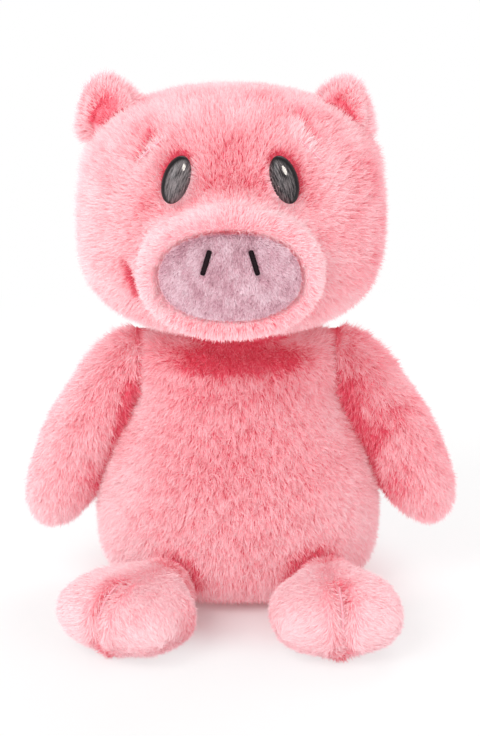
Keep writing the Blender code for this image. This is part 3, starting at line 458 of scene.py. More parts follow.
def bodyGrid(inset, rows, sides):
    # a pear: half width and depth ease from the seat to the chest, and both ends are rounded off by taper
    half = rows // 2
    low = -np.sin(np.linspace(math.pi / 2, 0, half + 1)) * (body["swellHeight"] + 0.5 - inset)
    high = np.sin(np.linspace(0, math.pi / 2, rows - half + 1)) * (body["height"] - body["swellHeight"] - inset)
    along = body["swellHeight"] + np.concatenate([low, high[1:]])
    climb = ease((along - body["swellHeight"]) / (body["chestHeight"] - body["swellHeight"]))
    below = np.clip((body["swellHeight"] - along) / (body["swellHeight"] + 0.5 - inset), 0, 1)
    above = np.clip((along - body["chestHeight"]) / (body["height"] - body["chestHeight"] - inset), 0, 1)
    end = taper(below, 3.2, 3.2) * taper(above, 2.5, 2.5)
    wide = body["halfWidth"] + (body["chestHalfWidth"] - body["halfWidth"]) * climb - inset
    seatDepth = body["halfWidth"] * body["depthShare"]
    chestDepth = body["chestHalfWidth"] * body["chestDepthShare"]
    deep = seatDepth + (chestDepth - seatDepth) * climb - inset
    points = superSection(along, wide * end, deep * end, sides, 2.2)
    fromNeck = points - neckCentre
    away = np.linalg.norm(fromNeck, axis=-1, keepdims=True)
    onBall = neckCentre + fromNeck / np.maximum(away, 1e-6) * (body["neckRadius"] + 0.7)
    return np.where((away < body["neckRadius"] + 0.7) & (points[..., 2:] > body["neckHeight"]), onBall, points)


def armNear(points):
    # 1 where a body point lies under an arm
    x, y, z = points.T
    side = np.abs(x)
    return ease((side - 40) / 14) * bell(y, 24) * ease((z - 30) / 30)


legs = {
    "hipRadius": 18.5, "hip": {-1: (-38.5, -67.533), 1: (43.7, -65.477)}, "length": 53.0,
    "toeHalfWidth": {-1: 34.5, 1: 32.0}, "toeHalfHeight": 19.0, "squareness": 0.4,
    "spreadStart": -2.0, "spreadEnd": 19.0, "roundLength": 28.0, "dropLength": 33.0,
    "cleftDepth": 6.0, "cleftHalfWidth": 4.6, "cleftStart": 6.0, "splay": {-1: 33.0, 1: 6.0},
    "skinInset": 3.2, "rows": 84, "sides": 130,
    "fur": {"density": 6.1, "length": 4.8, "width": 0.36, "lift": 44, "bend": 18, "clump": 2.6,
            "clumpPull": 0.14, "jitter": 0.20, "seed": 91},
    "tones": {"base": 0.98, "patches": 0.10, "cleft": 0.70, "toeMiddleShade": 0.30, "hip": 0.55, "soleShade": 0.30,
              "outerHipShade": 0.40},
}


def bodyCoat(points, normals):
    x, y, z = points.T
    down = alongSkin(np.array([0.0, 0.0, -1.0]), normals)
    forward = alongSkin(points * np.array([1.0, 1.0, 0.0]), normals)
    under = ease((12 - z) / 10)[:, None]
    comb = alongSkin(down * (1 - under) + forward * under, normals)
    front = ease((-y - 10) / 25)
    tones = body["tones"]
    tone = tones["base"] + tones["patches"] * ripple(points, 26, 21)
    tone += tones["mottle"] * ripple(points, 5, 22) * front
    # painted shade: darker in the belly's middle, where one looks down into the pile
    tone -= tones["bellyShade"] * front * bell(x - 2, 30) * bell(z - 82, 36)
    # painted shadow under the chin, painted shade deepening up the chest towards the head, and painted shade at
    # the bottom where the body sits on the floor
    tone -= tones["chinShadow"] * ease((z - 118) / 9) * front * bell(x + 3, 34)
    tone -= tones["chestShade"] * ease((z - 96) / 18) + tones["seat"] * ease((11 - z) / 9)
    for hipX, hipY in legs["hip"].values():
        # painted shade, crimson where a leg leans on the body
        fromHip = np.linalg.norm(points - np.array([hipX, hipY, legs["hipRadius"]]), axis=1)
        tone -= tones["hip"] * ease((31 - fromHip) / 8)
    # painted light: paler towards the flanks, the left more than the right, from the key on the left and the
    # light at the edges
    tone += ease((np.abs(x) - 34) / 24) * np.where(x < 0, tones["left"], tones["right"])
    near = armNear(points)
    # painted shadow under each arm, and painted shade in the crease between arm and body
    armCreaseShadeMask = near * ease((z - 62) / 20) * ease((np.abs(x) - 45) / 6)
    tone -= tones["underArmShadow"] * near + tones["armCreaseShade"] * armCreaseShadeMask
    corner = ease((np.abs(x) - 30) / 12) * ease((z - 104) / 12)
    size = 1 + 0.3 * near - 0.25 * ease((z - 118) / 10) * (1 - corner) + 0.60 * corner
    keep = (headDepthAt(points) > 2.0) & (z > 1.5)
    return {"comb": comb, "tone": tone, "size": size, "keep": keep, "liftMore": 20 * near + 15 * corner}


# head and muzzle

head = {
    "centre": (-3.5, 0.0, 190.0), "halfWidth": 75.0, "halfDepth": 59.0, "rise": 65.0, "drop": 55.0,
    "crownPower": 2.5, "jowlPower": 2.9, "plan": 2.25, "skinInset": 3.6, "blend": 7.0,
    "rows": 170, "sides": 250,
    "fur": {"density": 5.6, "length": 5.5, "width": 0.37, "lift": 60, "bend": 20, "clump": 3.0,
            "clumpPull": 0.24, "jitter": 0.25, "seed": 31},
    "tones": {"base": 0.58, "patches": 0.10, "mottle": 0.06, "foreheadShade": 0.23, "underChinShade": 0.22, "underLipShade": 0.10,
              "grooveShadeRidgeLight": 0.58, "left": 0.20, "right": -0.26, "roundPad": 0.22, "padEdge": 0.55, "earRoot": 0.12,
              "innerLid": 0.30, "outerLidShade": 0.75},
}
muzzle = {"centreHeight": 177.0, "halfWidth": 39.5, "halfHeight": 30.5, "front": 76.5, "root": 40.0,
          "power": 2.6, "outline": 2.3, "rollBack": 5.0, "rollOut": 4.2, "rollRadius": 8.4, "rollBlend": 5.0,
          "rollStretch": 0.24}
snout = {
    "centre": (-3.5, -74.0, 178.0), "halfWidth": 32.5, "halfHeight": 20.5, "halfThickness": 5.5,
    "outline": 2.2, "inset": 0.9,
    "pile": {"density": 15.5, "length": 2.3, "width": 0.34, "lift": 50, "bend": 20, "clump": 3.4,
             "clumpPull": 0.26, "jitter": 0.2, "seed": 41},
    "tones": {"base": 0.58, "streaks": 0.28, "patches": 0.10, "edge": 0.30, "nostril": 0.30, "below": 0.10},
}
eyes = {
    "spacing": 50.0, "rise": 29.0, "halfWidth": 6.5, "halfHeight": 11.6, "crown": 4.8, "seat": 1.6,
    "lean": 15.0, "rings": 40, "sides": 72, "reflectionStreakLevel": {-1: (0.38, 0.64), 1: (0.45, 0.70)},
    # the part inside the rim holds the eye's painted reflection
    "paintedReflectionPatch": ((0.345, 0.47), (0.46, 0.47)),   # middle and half size of the part inside the rim, as shares
}
brows = {  # each groove's ends across and up, and the way to its ridge
    "left": ((-37.0, 235.0), (-46.0, 223.0), (0.80, -0.60)),
    "right": ((26.5, 242.0), (36.4, 229.0), (-0.795, -0.606)),
    "depth": 2.6, "width": 1.9, "ridge": 1.5, "ridgeWidth": 2.4,
}
cheekFold = {"ends": ((-52.0, 180.0), (-45.5, 162.0)), "depth": 2.6, "width": 2.2}
headCentre = np.array(head["centre"])
snoutCentre = np.array(snout["centre"])


def headDepthAt(points):
    # ((rho^p + |z/R|^p)^(1/p) - 1) * 60, with rho the plan's superellipse: near the distance outside the head
    p = points - headCentre
    rho = ovalShare(p[..., 0], p[..., 1], head["halfWidth"], head["halfDepth"], head["plan"])
    up = p[..., 2] > 0
    power = np.where(up, head["crownPower"], head["jowlPower"])
    reach = np.where(up, head["rise"], head["drop"])
    return ((rho ** power + np.abs(p[..., 2] / reach) ** power) ** (1 / power) - 1) * 60


def muzzleDepthAt(points):
    # the same for the muzzle: an outline that closes towards its blunt front
    ahead = np.maximum(-points[..., 1] - muzzle["root"], 0) / (muzzle["front"] - muzzle["root"])
    ring = ovalShare(points[..., 0] - headCentre[0], points[..., 2] - muzzle["centreHeight"],
                     muzzle["halfWidth"], muzzle["halfHeight"], muzzle["outline"])
    inFront = ((ring ** muzzle["power"] + ahead ** muzzle["power"]) ** (1 / muzzle["power"]) - 1) * 32
    return np.maximum(inFront, points[..., 1] + muzzle["root"] - 10)


def rollDepthAt(points):
    # distance to the padded roll that closes round the pad: a tube along an oval just outside the pad's edge,
    # with off = r - r / share across it and y along it, drawn out backwards, and sqrt(off^2 + y^2) - R
    p = points - snoutCentre - np.array([0, muzzle["rollBack"], 0])
    wide, high = snout["halfWidth"] + muzzle["rollOut"], snout["halfHeight"] + muzzle["rollOut"]
    share = ovalShare(p[..., 0], p[..., 2], wide, high, snout["outline"])
    reach = np.hypot(p[..., 0], p[..., 2])
    along = np.where(p[..., 1] > 0, p[..., 1] * muzzle["rollStretch"], p[..., 1])
    return np.hypot(reach - reach / np.maximum(share, 1e-4), along) - muzzle["rollRadius"]


def smoothUnion(first, second, blend):
    # min(a, b) - h^2 * blend / 4, with h = max(blend - |a - b|, 0) / blend
    near = np.maximum(blend - np.abs(first - second), 0) / blend
    return np.minimum(first, second) - near * near * blend / 4


def lineShare(points, ends):
    # distance across a line in the front view and a mask that fades past its ends
    start, stop = np.array(ends[0]), np.array(ends[1])
    way = stop - start
    reach = np.linalg.norm(way)
    way = way / reach
    flat = points[..., [0, 2]] - (start + stop) / 2
    along = flat @ way
    across = flat @ np.array([way[1], -way[0]])
    return across, ease((reach / 2 + 3 - np.abs(along)) / 5) * (points[..., 1] < -15)


def browLines(points):
    # for each brow: the distance across its groove, growing towards its ridge, and its mask
    lines = []
    for side in ("left", "right"):
        start, stop, toRidge = brows[side]
        across, mask = lineShare(points, (start, stop))
        way = np.array(stop) - np.array(start)
        lines.append((across * np.sign(np.dot([way[1], -way[0]], toRidge)), mask))
    return lines


def browDent(points):
    # groove and ridge over each eye, and the fold in the cheek: how far the skin goes in, and how dark it is,
    # which is painted shade in the groove and fold and painted light on the ridge
    dent, dark = np.zeros(points.shape[:-1]), np.zeros(points.shape[:-1])
    for across, mask in browLines(points):
        dent += brows["depth"] * (bell(across, brows["width"]) * mask)
        dent -= brows["ridge"] * bell(across - 4.2, brows["ridgeWidth"]) * mask
        dark += bell(across + 0.7, brows["width"]) * mask
        dark -= 0.7 * bell(across - 3.6, brows["ridgeWidth"]) * mask
    across, mask = lineShare(points, cheekFold["ends"])
    fold = bell(across, cheekFold["width"]) * mask
    return dent + cheekFold["depth"] * fold, dark + fold


def browShare(points):
    # 1 along each brow's groove and on the side of its ridge
    return sum(bell(across - 0.8, 2.8) * mask for across, mask in browLines(points))


def headGrid():
    # a ray in every direction from the head's middle, and bisection for where it leaves the head and muzzle
    rows, sides = head["rows"], head["sides"]
    fall = np.linspace(0, math.pi, rows + 1)[:, None]
    turn = np.linspace(0, 2 * math.pi, sides, endpoint=False)[None, :]
    turn = turn + 0 * fall
    ways = np.stack([np.sin(fall) * np.sin(turn), -np.sin(fall) * np.cos(turn), np.cos(fall) + 0 * turn], -1)
    low, high = np.zeros(ways.shape[:2]), np.full(ways.shape[:2], 120.0)
    for _ in range(34):
        middle = (low + high) / 2
        points = headCentre + ways * middle[..., None]
        depth = smoothUnion(headDepthAt(points), muzzleDepthAt(points), head["blend"])
        out = smoothUnion(depth, rollDepthAt(points), muzzle["rollBlend"]) + head["skinInset"] > 0
        low, high = np.where(out, low, middle), np.where(out, middle, high)
    reach = (low + high) / 2
    toNeck = neckCentre - headCentre
    near = ways @ toNeck
    room = body["neckRadius"] + 1.6
    inside = near ** 2 - (toNeck @ toNeck - room ** 2)
    hit = np.where(inside > 0, near - np.sqrt(np.maximum(inside, 0)), 1e9)
    reach = np.minimum(reach, np.where(near > 0, hit, 1e9))
    points = headCentre + ways * reach[..., None]
    dent, _ = browDent(points)
    points = points - gridNormals(points) * dent[..., None]
    points[0], points[-1] = points[0, :1], points[-1, :1]
    return points


def faceFrame(side):
    # the eye's own axes: across, up and out of the head's front skin, turned by the lean
    across, up = side * eyes["spacing"] / 2, eyes["rise"]
    power, plan = head["crownPower"], head["plan"]
    share = (1 - (up / head["rise"]) ** power) ** (1 / power)
    wide = abs(across) / (head["halfWidth"] * share)
    forward = head["halfDepth"] * share * (1 - wide ** plan) ** (1 / plan)
    ahead, level = forward / (head["halfDepth"] * share), share ** (power - 1)
    out = unit(np.array([side * wide ** (plan - 1) * level / head["halfWidth"],
                         -(ahead ** (plan - 1)) * level / head["halfDepth"],
                         (up / head["rise"]) ** (power - 1) / head["rise"]]))
    sideways = unit(np.cross([0, 0, 1], out))
    upwards = np.cross(out, sideways)
    lean = math.radians(side * eyes["lean"])
    axes = np.array([sideways * math.cos(lean) + upwards * math.sin(lean),
                     upwards * math.cos(lean) - sideways * math.sin(lean), out])
    return np.array([headCentre[0] + across, -forward, headCentre[2] + up]), axes


eyeFrames = {side: faceFrame(side) for side in (-1, 1)}


ears = {
    "offset": {-1: 57.5, 1: 52.3}, "sink": {-1: 0.0, 1: 5.4}, "setback": 4.0, "reach": 20.5, "root": 21.0,
    "halfWidth": 17.0, "halfThickness": 5.0, "splay": 16.0, "taper": (1.5, 1.7), "skinInset": 2.0,
    "liningShare": 0.60, "hollow": 1.8, "rows": 46, "sides": 84,
    "tones": {"base": 0.86, "patches": 0.10, "openingEdge": 0.30, "aboveOpening": 0.22,
              "lining": 0.80, "liningShade": 0.75, "liningPatches": 0.1},
    # the lined opening's place outwards and up, its half width and its half length
    "opening": {-1: (3.0, 2.4, 5.4, 9.6), 1: (0.4, 3.0, 5.4, 8.8)},
    "fur": {"density": 7.0, "length": 5.2, "width": 0.40, "lift": 40, "bend": 14, "clump": 3.0,
            "clumpPull": 0.24, "jitter": 0.18, "seed": 71},
    "fringe": {"density": 8.0, "length": 4.4, "width": 0.40, "lift": 34, "bend": 14, "clump": 3.0,
               "clumpPull": 0.24, "jitter": 0.22, "seed": 75},
    "pile": {"density": 12.0, "length": 2.8, "width": 0.36, "lift": 38, "bend": 16, "clump": 3.2,
             "clumpPull": 0.2, "jitter": 0.2, "seed": 73},
}


def earFrame(side):
    splay = math.radians(ears["splay"])
    up = np.array([side * math.sin(splay), 0.0, math.cos(splay)])
    forward = np.array([0.0, -1.0, 0.0])
    offset, sink = ears["offset"][side], ears["sink"][side]
    share = (1 - (offset / head["halfWidth"]) ** head["crownPower"]) ** (1 / head["crownPower"])
    height = headCentre[2] + head["rise"] * share - sink
    origin = np.array([headCentre[0] + side * offset, ears["setback"], height])
    return origin, np.array([np.cross(forward, up), forward, up])


earFrames = {side: earFrame(side) for side in (-1, 1)}


def headCoat(points, normals):
    x, y, z = points.T
    away = alongSkin(points - snoutCentre, normals)
    down = alongSkin(np.array([0.0, 0.0, -1.0]), normals)
    behind = ease((y + 5) / 40)[:, None]
    comb = alongSkin(away * (1 - behind) + down * (0.3 + 0.9 * behind), normals)
    across, _, up = (points - headCentre).T
    front = ease((-y - 15) / 20)
    tones = head["tones"]
    tone = tones["base"] + tones["patches"] * ripple(points, 24, 51)
    tone += tones["mottle"] * ripple(points * np.array([0.5, 1.0, 1.3]), 4, 52)
    # painted shade: darker in the forehead's middle, where one looks down into the pile
    tone -= tones["foreheadShade"] * front * bell(across - 2, 27) * bell(up - 36, 17)
    ring = ovalShare(across, z - muzzle["centreHeight"], muzzle["halfWidth"], muzzle["halfHeight"],
                     muzzle["outline"])
    ahead = ease((-y - 40) / 12)
    # painted light on the muzzle's rounded rim and painted shade just outside it
    muzzleRimLightAndShade = 0.12 * bell(ring - 0.85, 0.25) + 0.14 * bell(ring - 1.0, 0.12) - 0.14 * bell(ring - 1.28, 0.10)
    tone += ahead * muzzleRimLightAndShade
    # painted shade under the chin and under the muzzle's lower lip
    tone -= tones["underChinShade"] * ease((148 - z) / 8) + tones["underLipShade"] * ahead * ease((164 - z) / 8)
    _, dark = browDent(points)
    browBand = np.clip(browShare(points), 0, 1)
    # painted shade in the brow grooves and the cheek fold, painted light on the brow ridges
    tone -= tones["grooveShadeRidgeLight"] * dark
    # painted light and shade: paler towards the left side and darker towards the right, from the key on the
    # left
    tone += ease((np.abs(across) - 42) / 28) * np.where(across < 0, tones["left"], tones["right"])
    size = 1 - 0.20 * ahead + 0.80 * browBand + 0.30 * ease((np.abs(across) - 50) / 20)
    lay = -30 * ahead * ease((1.25 - ring) / 0.2)
    pad = ovalShare(x - snoutCentre[0], z - snoutCentre[2], snout["halfWidth"], snout["halfHeight"],
                    snout["outline"]) ** snout["outline"]
    keep = (pad > 0.93) | (y > -55)
    # next to the pad the fur is short
    nearPad = ahead * ease((1.40 - pad) / 0.25)
    size = size * (1 - 0.25 * nearPad)
    tone += tones["roundPad"] * nearPad - tones["padEdge"] * ahead * bell(pad - 0.99, 0.045)
    for side, (earOrigin, earAxes) in earFrames.items():
        # longer fur that climbs over each ear's root
        local = (points - earOrigin) @ earAxes.T
        base = bell(np.linalg.norm(local / np.array([17.0, 13.0, 10.0]), axis=1), 1.0)
        notch = bell(np.linalg.norm(points - earOrigin - np.array([14 * side, 0, -15]), axis=1), 12)
        comb = alongSkin(comb * (1 - 0.8 * base[:, None]) + 0.8 * base[:, None] * earAxes[2], normals)
        size = size + 0.45 * base + 0.55 * notch
        lay = lay + 14 * base + 12 * notch
        tone = tone + tones["earRoot"] * base
    fold = 0 * tone
    for origin, axes in eyeFrames.values():
        local = (points - origin) @ axes.T
        oval = np.hypot(local[:, 0] / eyes["halfWidth"], local[:, 1] / eyes["halfHeight"])
        nearEye = (np.abs(local[:, 2]) < 20) & (y < 0)
        keep &= ~(nearEye & (oval < 0.97))
        outer = unit(local[:, :2])
        eyeSide = np.sign(origin[0] - headCentre[0])
        shadeWay = np.clip(outer[:, 1] * 0.6 + outer[:, 0] * eyeSide * 0.8 + 0.15, 0, 1)
        inner = np.clip(-outer[:, 0] * eyeSide * 0.9 - outer[:, 1] * 0.45 + 0.1, 0, 1)
        inner = inner * nearEye * ease((1.6 - oval) / 0.3)
        comb = alongSkin(comb * (1 - inner[:, None]) - (outer @ axes[:2]) * inner[:, None], normals)
        size = size * (1 + 0.85 * inner - 0.50 * nearEye * ease((1.5 - oval) / 0.4) * shadeWay)
        lay = lay + 20 * inner
        fold = fold + 50 * inner
        # painted shade round the outer and upper side of each eye, where it sits back in the fur
        tone += tones["innerLid"] * inner - tones["outerLidShade"] * nearEye * bell(oval - 1.02, 0.20) * shadeWay
    keep &= np.linalg.norm(points - neckCentre, axis=-1) > body["neckRadius"] + 4
    return {"comb": comb, "tone": tone, "size": size, "keep": keep, "liftMore": lay, "bendMore": fold}


bodySkinGrid = bodyGrid(body["skinInset"], body["rows"], body["sides"])
dress("body", "", bodySkinGrid, body["fur"], bodyCoat, "torso", ["body_cover"])
print("body made")

dress("head", "", headGrid(), head["fur"], headCoat, "head", ["head_cover", "muzzle_cover"])
print("head made")


# snout pad and nostrils

def snoutFront(across, up):
    # depth of the pad's domed front over its plane: T * sqrt(1 - ring^2)
    ring = ovalShare(across, up, snout["halfWidth"], snout["halfHeight"], snout["outline"])
    return snout["halfThickness"] * np.sqrt(np.maximum(1 - ring ** 2, 0))


def snoutGrid():
    # a closed oval lens: sections shrink by taper towards the back and the front
    share = alongAxis(-1, 1, 60)
    size = taper(share, 2.0, 2.0)
    inset = snout["inset"]
    points = superSection(share * (snout["halfThickness"] - inset), (snout["halfWidth"] - inset) * size,
                          (snout["halfHeight"] - inset) * size, 140, snout["outline"])
    return placed(points, snoutCentre, [(1, 0, 0), (0, 0, 1), (0, -1, 0)])


nostrils = {"spacing": 22.0, "lean": 3.5, "length": 11.5, "height": 185.5, "radius": 1.15, "stitches": 15,
            "stitchRise": 0.10}


def nostrilDistance(points, side):
    # distance in the front view from a nostril's line
    top = np.array([side * (nostrils["spacing"] - nostrils["lean"]) / 2, nostrils["length"] / 2])
    flat = np.stack([points[:, 0] - headCentre[0], points[:, 2] - nostrils["height"]], -1)
    bottom = np.array([side * (nostrils["spacing"] + nostrils["lean"]) / 2, -nostrils["length"] / 2])
    way = bottom - top
    share = np.clip((flat - top) @ way / (way @ way), 0, 1)
    return np.linalg.norm(flat - top - share[:, None] * way, axis=-1)


def snoutCoat(points, normals):
    across, _, up = (points - snoutCentre).T
    comb = alongSkin(np.stack([0.55 * across / 20, 0 * across, -1.0 + 0.5 * up / 20], -1), normals)
    near = np.minimum(nostrilDistance(points, -1), nostrilDistance(points, 1))
    streak = ripple(points * np.array([1.0, 1.0, 0.28]), 3.2, 61)
    tones = snout["tones"]
    tone = tones["base"] + tones["streaks"] * streak + tones["patches"] * ripple(points, 14, 62)
    outline = snout["outline"]
    edge = ovalShare(across, up, snout["halfWidth"], snout["halfHeight"], outline) ** outline
    tone -= tones["edge"] * bell(edge - 1.0, 0.14) + tones["nostril"] * bell(near, 1.8)
    tone -= tones["below"] * ease((-up - 4) / 12)
    size = 1 - 0.65 * bell(near, 1.6)
    keep = (points[:, 1] < snoutCentre[1] - 0.2) & (near > 0.9)
    return {"comb": comb, "tone": tone, "size": size, "keep": keep}


padGrid = snoutGrid()
pad = gridMesh("snoutPad", padGrid, padMaterial)
enter(pad, "head", ["snout_pad"])
growFur("snoutPile", padGrid, snout["pile"], snoutCoat, "head", snoutPileMaterial)


def nostrilGrid(side):
    # a satin bar: a tube down the pad's front, r = R * taper at the ends * (1 + rise * |sin| of each stitch)
    share = np.linspace(-1, 1, 91)
    across = side * (nostrils["spacing"] / 2 - nostrils["lean"] / 2 * share)
    up = nostrils["height"] + nostrils["length"] / 2 * share
    front = snoutFront(across, up - snoutCentre[2])
    route = np.column_stack([headCentre[0] + across, snoutCentre[1] - front - 0.1, up])
    way = unit(np.gradient(route, axis=0))
    out = alongSkin(np.array([0.0, -1.0, 0.0]), way)
    sideways = np.cross(way, out)
    turn = np.linspace(0, 2 * math.pi, 20, endpoint=False)
    bumps = np.abs(np.sin(math.pi * nostrils["stitches"] * (share + 1) / 2))
    stitch = 1 + nostrils["stitchRise"] * (bumps - 0.5)
    size = nostrils["radius"] * taper(share * 0.9999, 14, 3) * stitch
    ring = sideways[:, None] * np.cos(turn)[:, None] * 1.05 + out[:, None] * np.sin(turn)[:, None] * 0.85
    points = route[:, None] + ring * size[:, None, None]
    points[0], points[-1] = route[0], route[-1]
    return points


def satinMaterial():
    # black thread with the fine lines of its twist
    material, tree, surface = newMaterial("blackSatinThread", {"Roughness": 0.6, "Specular IOR Level": 0.06})
    where = addNode(tree, "TexCoord", {}).outputs["Object"]
    lines = addNode(tree, "TexWave", {"Vector": where, "Scale": 420, "Distortion": 1.5, "Detail": 3},
                    bands_direction="Z").outputs["Fac"]
    fill(tree, surface["Base Color"], mixColour(tree, lines, (0.004, 0.002, 0.003), (0.022, 0.010, 0.015)))
    fill(tree, surface["Normal"], bumped(tree, lines, 0.6, 0.0003))
    return material


satin = satinMaterial()
for sideName, side in (("left", -1), ("right", 1)):
    bar = gridMesh(f"nostrilBar{sideName.title()}", nostrilGrid(side), satin)
    enter(bar, "head", [f"nostril_{sideName}"])
print("snout made")


# eyes

def eyeGrid(side):
    # a moulded oval: sections shrink by taper, flat behind and domed in front
    share = alongAxis(-1, 1, eyes["rings"])
    along = np.where(share < 0, share * eyes["seat"], share * eyes["crown"])
    size = taper(share, 2.0, 2.0)
    local = superSection(along, eyes["halfWidth"] * size, eyes["halfHeight"] * size, eyes["sides"])
    flat = np.stack([0.5 + side * 0.5 * local[..., 0] / eyes["halfWidth"],
                     0.5 + 0.5 * local[..., 1] / eyes["halfHeight"]], -1)
    origin, axes = eyeFrames[side]
    return placed(local, origin, axes), flat


def eyeMaterial(name, low, high):
    # black plastic with a painted reflection: fine grey upright streaks inside a black rim, thick on the outer
    # and upper side, where the painted reflection leaves off
    shell = {"Roughness": 0.4, "Specular IOR Level": 0.04, "Coat Weight": 0.50, "Coat Roughness": 0.04}
    material, tree, surface = newMaterial(name, shell)
    uv = addNode(tree, "UVMap", {}, uv_map="face").outputs[0]
    narrow = addNode(tree, "Mapping", {"Vector": uv, "Scale": (15, 2.6, 1)}).outputs[0]
    streaks = addNode(tree, "TexNoise", {"Vector": narrow, "Scale": 1.6, "Detail": 6, "Roughness": 0.75})
    share = ranged(tree, streaks.outputs["Fac"], low, high, smooth=False)
    eyeReflectionPaint = mixColour(tree, share, (0.012, 0.008, 0.010), (0.27, 0.235, 0.24))
    (middleX, middleY), (halfX, halfY) = eyes["paintedReflectionPatch"]
    toRim = {"Location": (-middleX / halfX, -middleY / halfY, 0), "Scale": (1 / halfX, 1 / halfY, 0)}
    offMiddle = addNode(tree, "Mapping", {"Vector": uv, **toRim}).outputs[0]
    length = addNode(tree, "VectorMath", {0: offMiddle}, operation="LENGTH").outputs["Value"]
    rim = ranged(tree, length, 0.86, 1.04)
    fill(tree, surface["Base Color"], mixColour(tree, rim, eyeReflectionPaint, (0.004, 0.003, 0.004)))
    return material


for sideName, side in (("left", -1), ("right", 1)):
    surface, flat = eyeGrid(side)
    eyeReflectionPaint = eyeMaterial(f"blackEyePaintedReflection{sideName.title()}", *eyes["reflectionStreakLevel"][side])
    eye = gridMesh(f"eyeDome{sideName.title()}", surface, eyeReflectionPaint, flat)
    enter(eye, "head", [f"eye_{sideName}"])
print("eyes made")


# ears

def earLocal(reach, root, halfWidth, halfThickness, rows, sides):
    along = alongAxis(-root, reach, rows)
    size = taper(np.clip(along / reach, 0, 1), *ears["taper"]) * taper(np.clip(-along / root, 0, 1), 2.0, 2.0)
    return superSection(along, halfWidth * size, halfThickness * size, sides)


def earGrid(side):
    # the ear's taper, with its front hollowed by a bell
    inset = ears["skinInset"]
    local = earLocal(ears["reach"] - inset, ears["root"] - inset, ears["halfWidth"] - inset,
                     ears["halfThickness"] - inset, ears["rows"], ears["sides"])
    hollow = ears["hollow"] * bell(local[..., 0], 9) * bell(local[..., 2] - 6, 10)
    local[..., 1] -= hollow * ease(local[..., 1] / 2.5)
    origin, axes = earFrames[side]
    return placed(local, origin, axes)


def liningGrid(side):
    share, inset = ears["liningShare"], 0.2
    local = earLocal(ears["reach"] * share - inset, ears["root"] * share / 2 - inset,
                     ears["halfWidth"] * share - inset, 1.5 - inset, 26, 48)
    local[..., 1] -= 0.9 * bell(local[..., 0], 7) * bell(local[..., 2] - 2, 8)
    origin, axes = earFrames[side]
    rise = ears["reach"] * (1 - share) / 2
    return placed(local, origin + rise * axes[2] + ears["halfThickness"] * axes[1] * 0.80, axes)


def openingShare(side, local):
    # the ear's lined opening, a slanted oval: how far across it a point lies, and 1 on its edge
    outwards, up, halfAcross, halfAlong = ears["opening"][side]
    away, rise = -side * local[:, 0] - outwards, local[:, 2] - up
    across = (0.78 * away + 0.62 * rise) / halfAcross
    return across, np.hypot(across, (0.62 * away - 0.78 * rise) / halfAlong)


def earCoat(side):
    origin, axes = earFrames[side]
    middle, tones = -side * ears["opening"][side][0], ears["tones"]

    def coat(points, normals):
        local = (points - origin) @ axes.T
        a, b, c = local.T
        rise, spread = 0.5 + 0.04 * local[:, 2:], (local[:, :1] - middle) / 11
        comb = alongSkin(axes[2] * rise + axes[0] * spread, normals)
        _, opening = openingShare(side, local)
        front = b > 0.5
        tone = tones["base"] + tones["patches"] * ripple(points, 9, 77)
        above = bell(c - 12, 4) * bell(a - middle, 8)
        tone -= front * (tones["openingEdge"] * bell(opening - 1.0, 0.22) + tones["aboveOpening"] * above)
        size = 1 + 0.25 * ease((c - 10) / 8) + 0.35 * ease((6 - c) / 10) * ease((-side * a - 6) / 8)
        offHead = headDepthAt(points) > 0.5
        return {"comb": comb, "tone": tone, "size": size, "keep": ~((opening < 0.9) & front) & offHead}

    return coat


def liningCoat(side):
    origin, axes = earFrames[side]
    tones = ears["tones"]

    def coat(points, normals):
        local = (points - origin) @ axes.T
        comb = alongSkin(axes[2] + axes[0] * (local[:, :1] / 10) * 0.6, normals)
        across, opening = openingShare(side, local)
        # painted shade on one side of the lining, deep in the opening
        shaded = ease((opening - 0.3) / 0.4) * np.clip(across + 0.3, 0, 1)
        tone = tones["lining"] - tones["liningShade"] * shaded + tones["liningPatches"] * ripple(points, 8, 79)
        keep = (normals @ axes[1] > 0.1) & (headDepthAt(points) > 0.5)
        return {"comb": comb, "tone": tone, "size": np.ones(len(points)), "keep": keep}

    return coat


for sideName, side in (("left", -1), ("right", 1)):
    title = sideName.title()
    surface, liningSurface = earGrid(side), liningGrid(side)
    ear = gridMesh(f"earSkin{title}", surface, skinMaterial, toneMap(surface, earCoat(side)))
    lining = gridMesh(f"earLining{title}", liningSurface, liningMaterial)
    bodyName, coat = f"{sideName}_ear", earCoat(side)
    enter(ear, bodyName, [f"ear_{sideName}"])
    enter(lining, bodyName, [f"ear_lining_{sideName}"])
    growFur(f"earFur{title}", surface, ears["fur"], coat, bodyName)
    growFur(f"earFringe{title}", liningSurface, ears["fringe"], coat, bodyName)
    growFur(f"earPile{title}", liningSurface, ears["pile"], liningCoat(side), bodyName,
            liningPileMaterial)
print("ears made")


# arms

arms = {
    "lean": {-1: 17.0038, 1: 19.0038}, "shoulder": {-1: 49.233, 1: 49.415}, "shoulderHeight": 113.5,
    "top": 22.5, "reach": 94.0, "swell": 56.5, "tipKick": 3.0,
    "halfWidth": 20.5, "halfThickness": 19.0, "outward": 19.5, "face": 1.9, "lift": 35.0, "liftStart": 12.5,
    "skinInset": 3.2, "faceInset": 0.9, "rows": 84, "sides": 92,
    "tones": {"base": {-1: 0.54, 1: 0.40}, "hand": {-1: 0.22, 1: 0.14}, "outsideLight": {-1: 0.18, 1: 0.04},
              "patches": 0.10, "mottle": 0.08, "inside": 0.30, "innerFrontShade": 0.26, "innerEdgeShade": 0.55},
    "fur": {"density": 5.5, "length": 5.8, "width": 0.40, "lift": 52, "bend": 20, "clump": 2.4,
            "clumpPull": 0.26, "jitter": 0.28, "seed": 81},
}


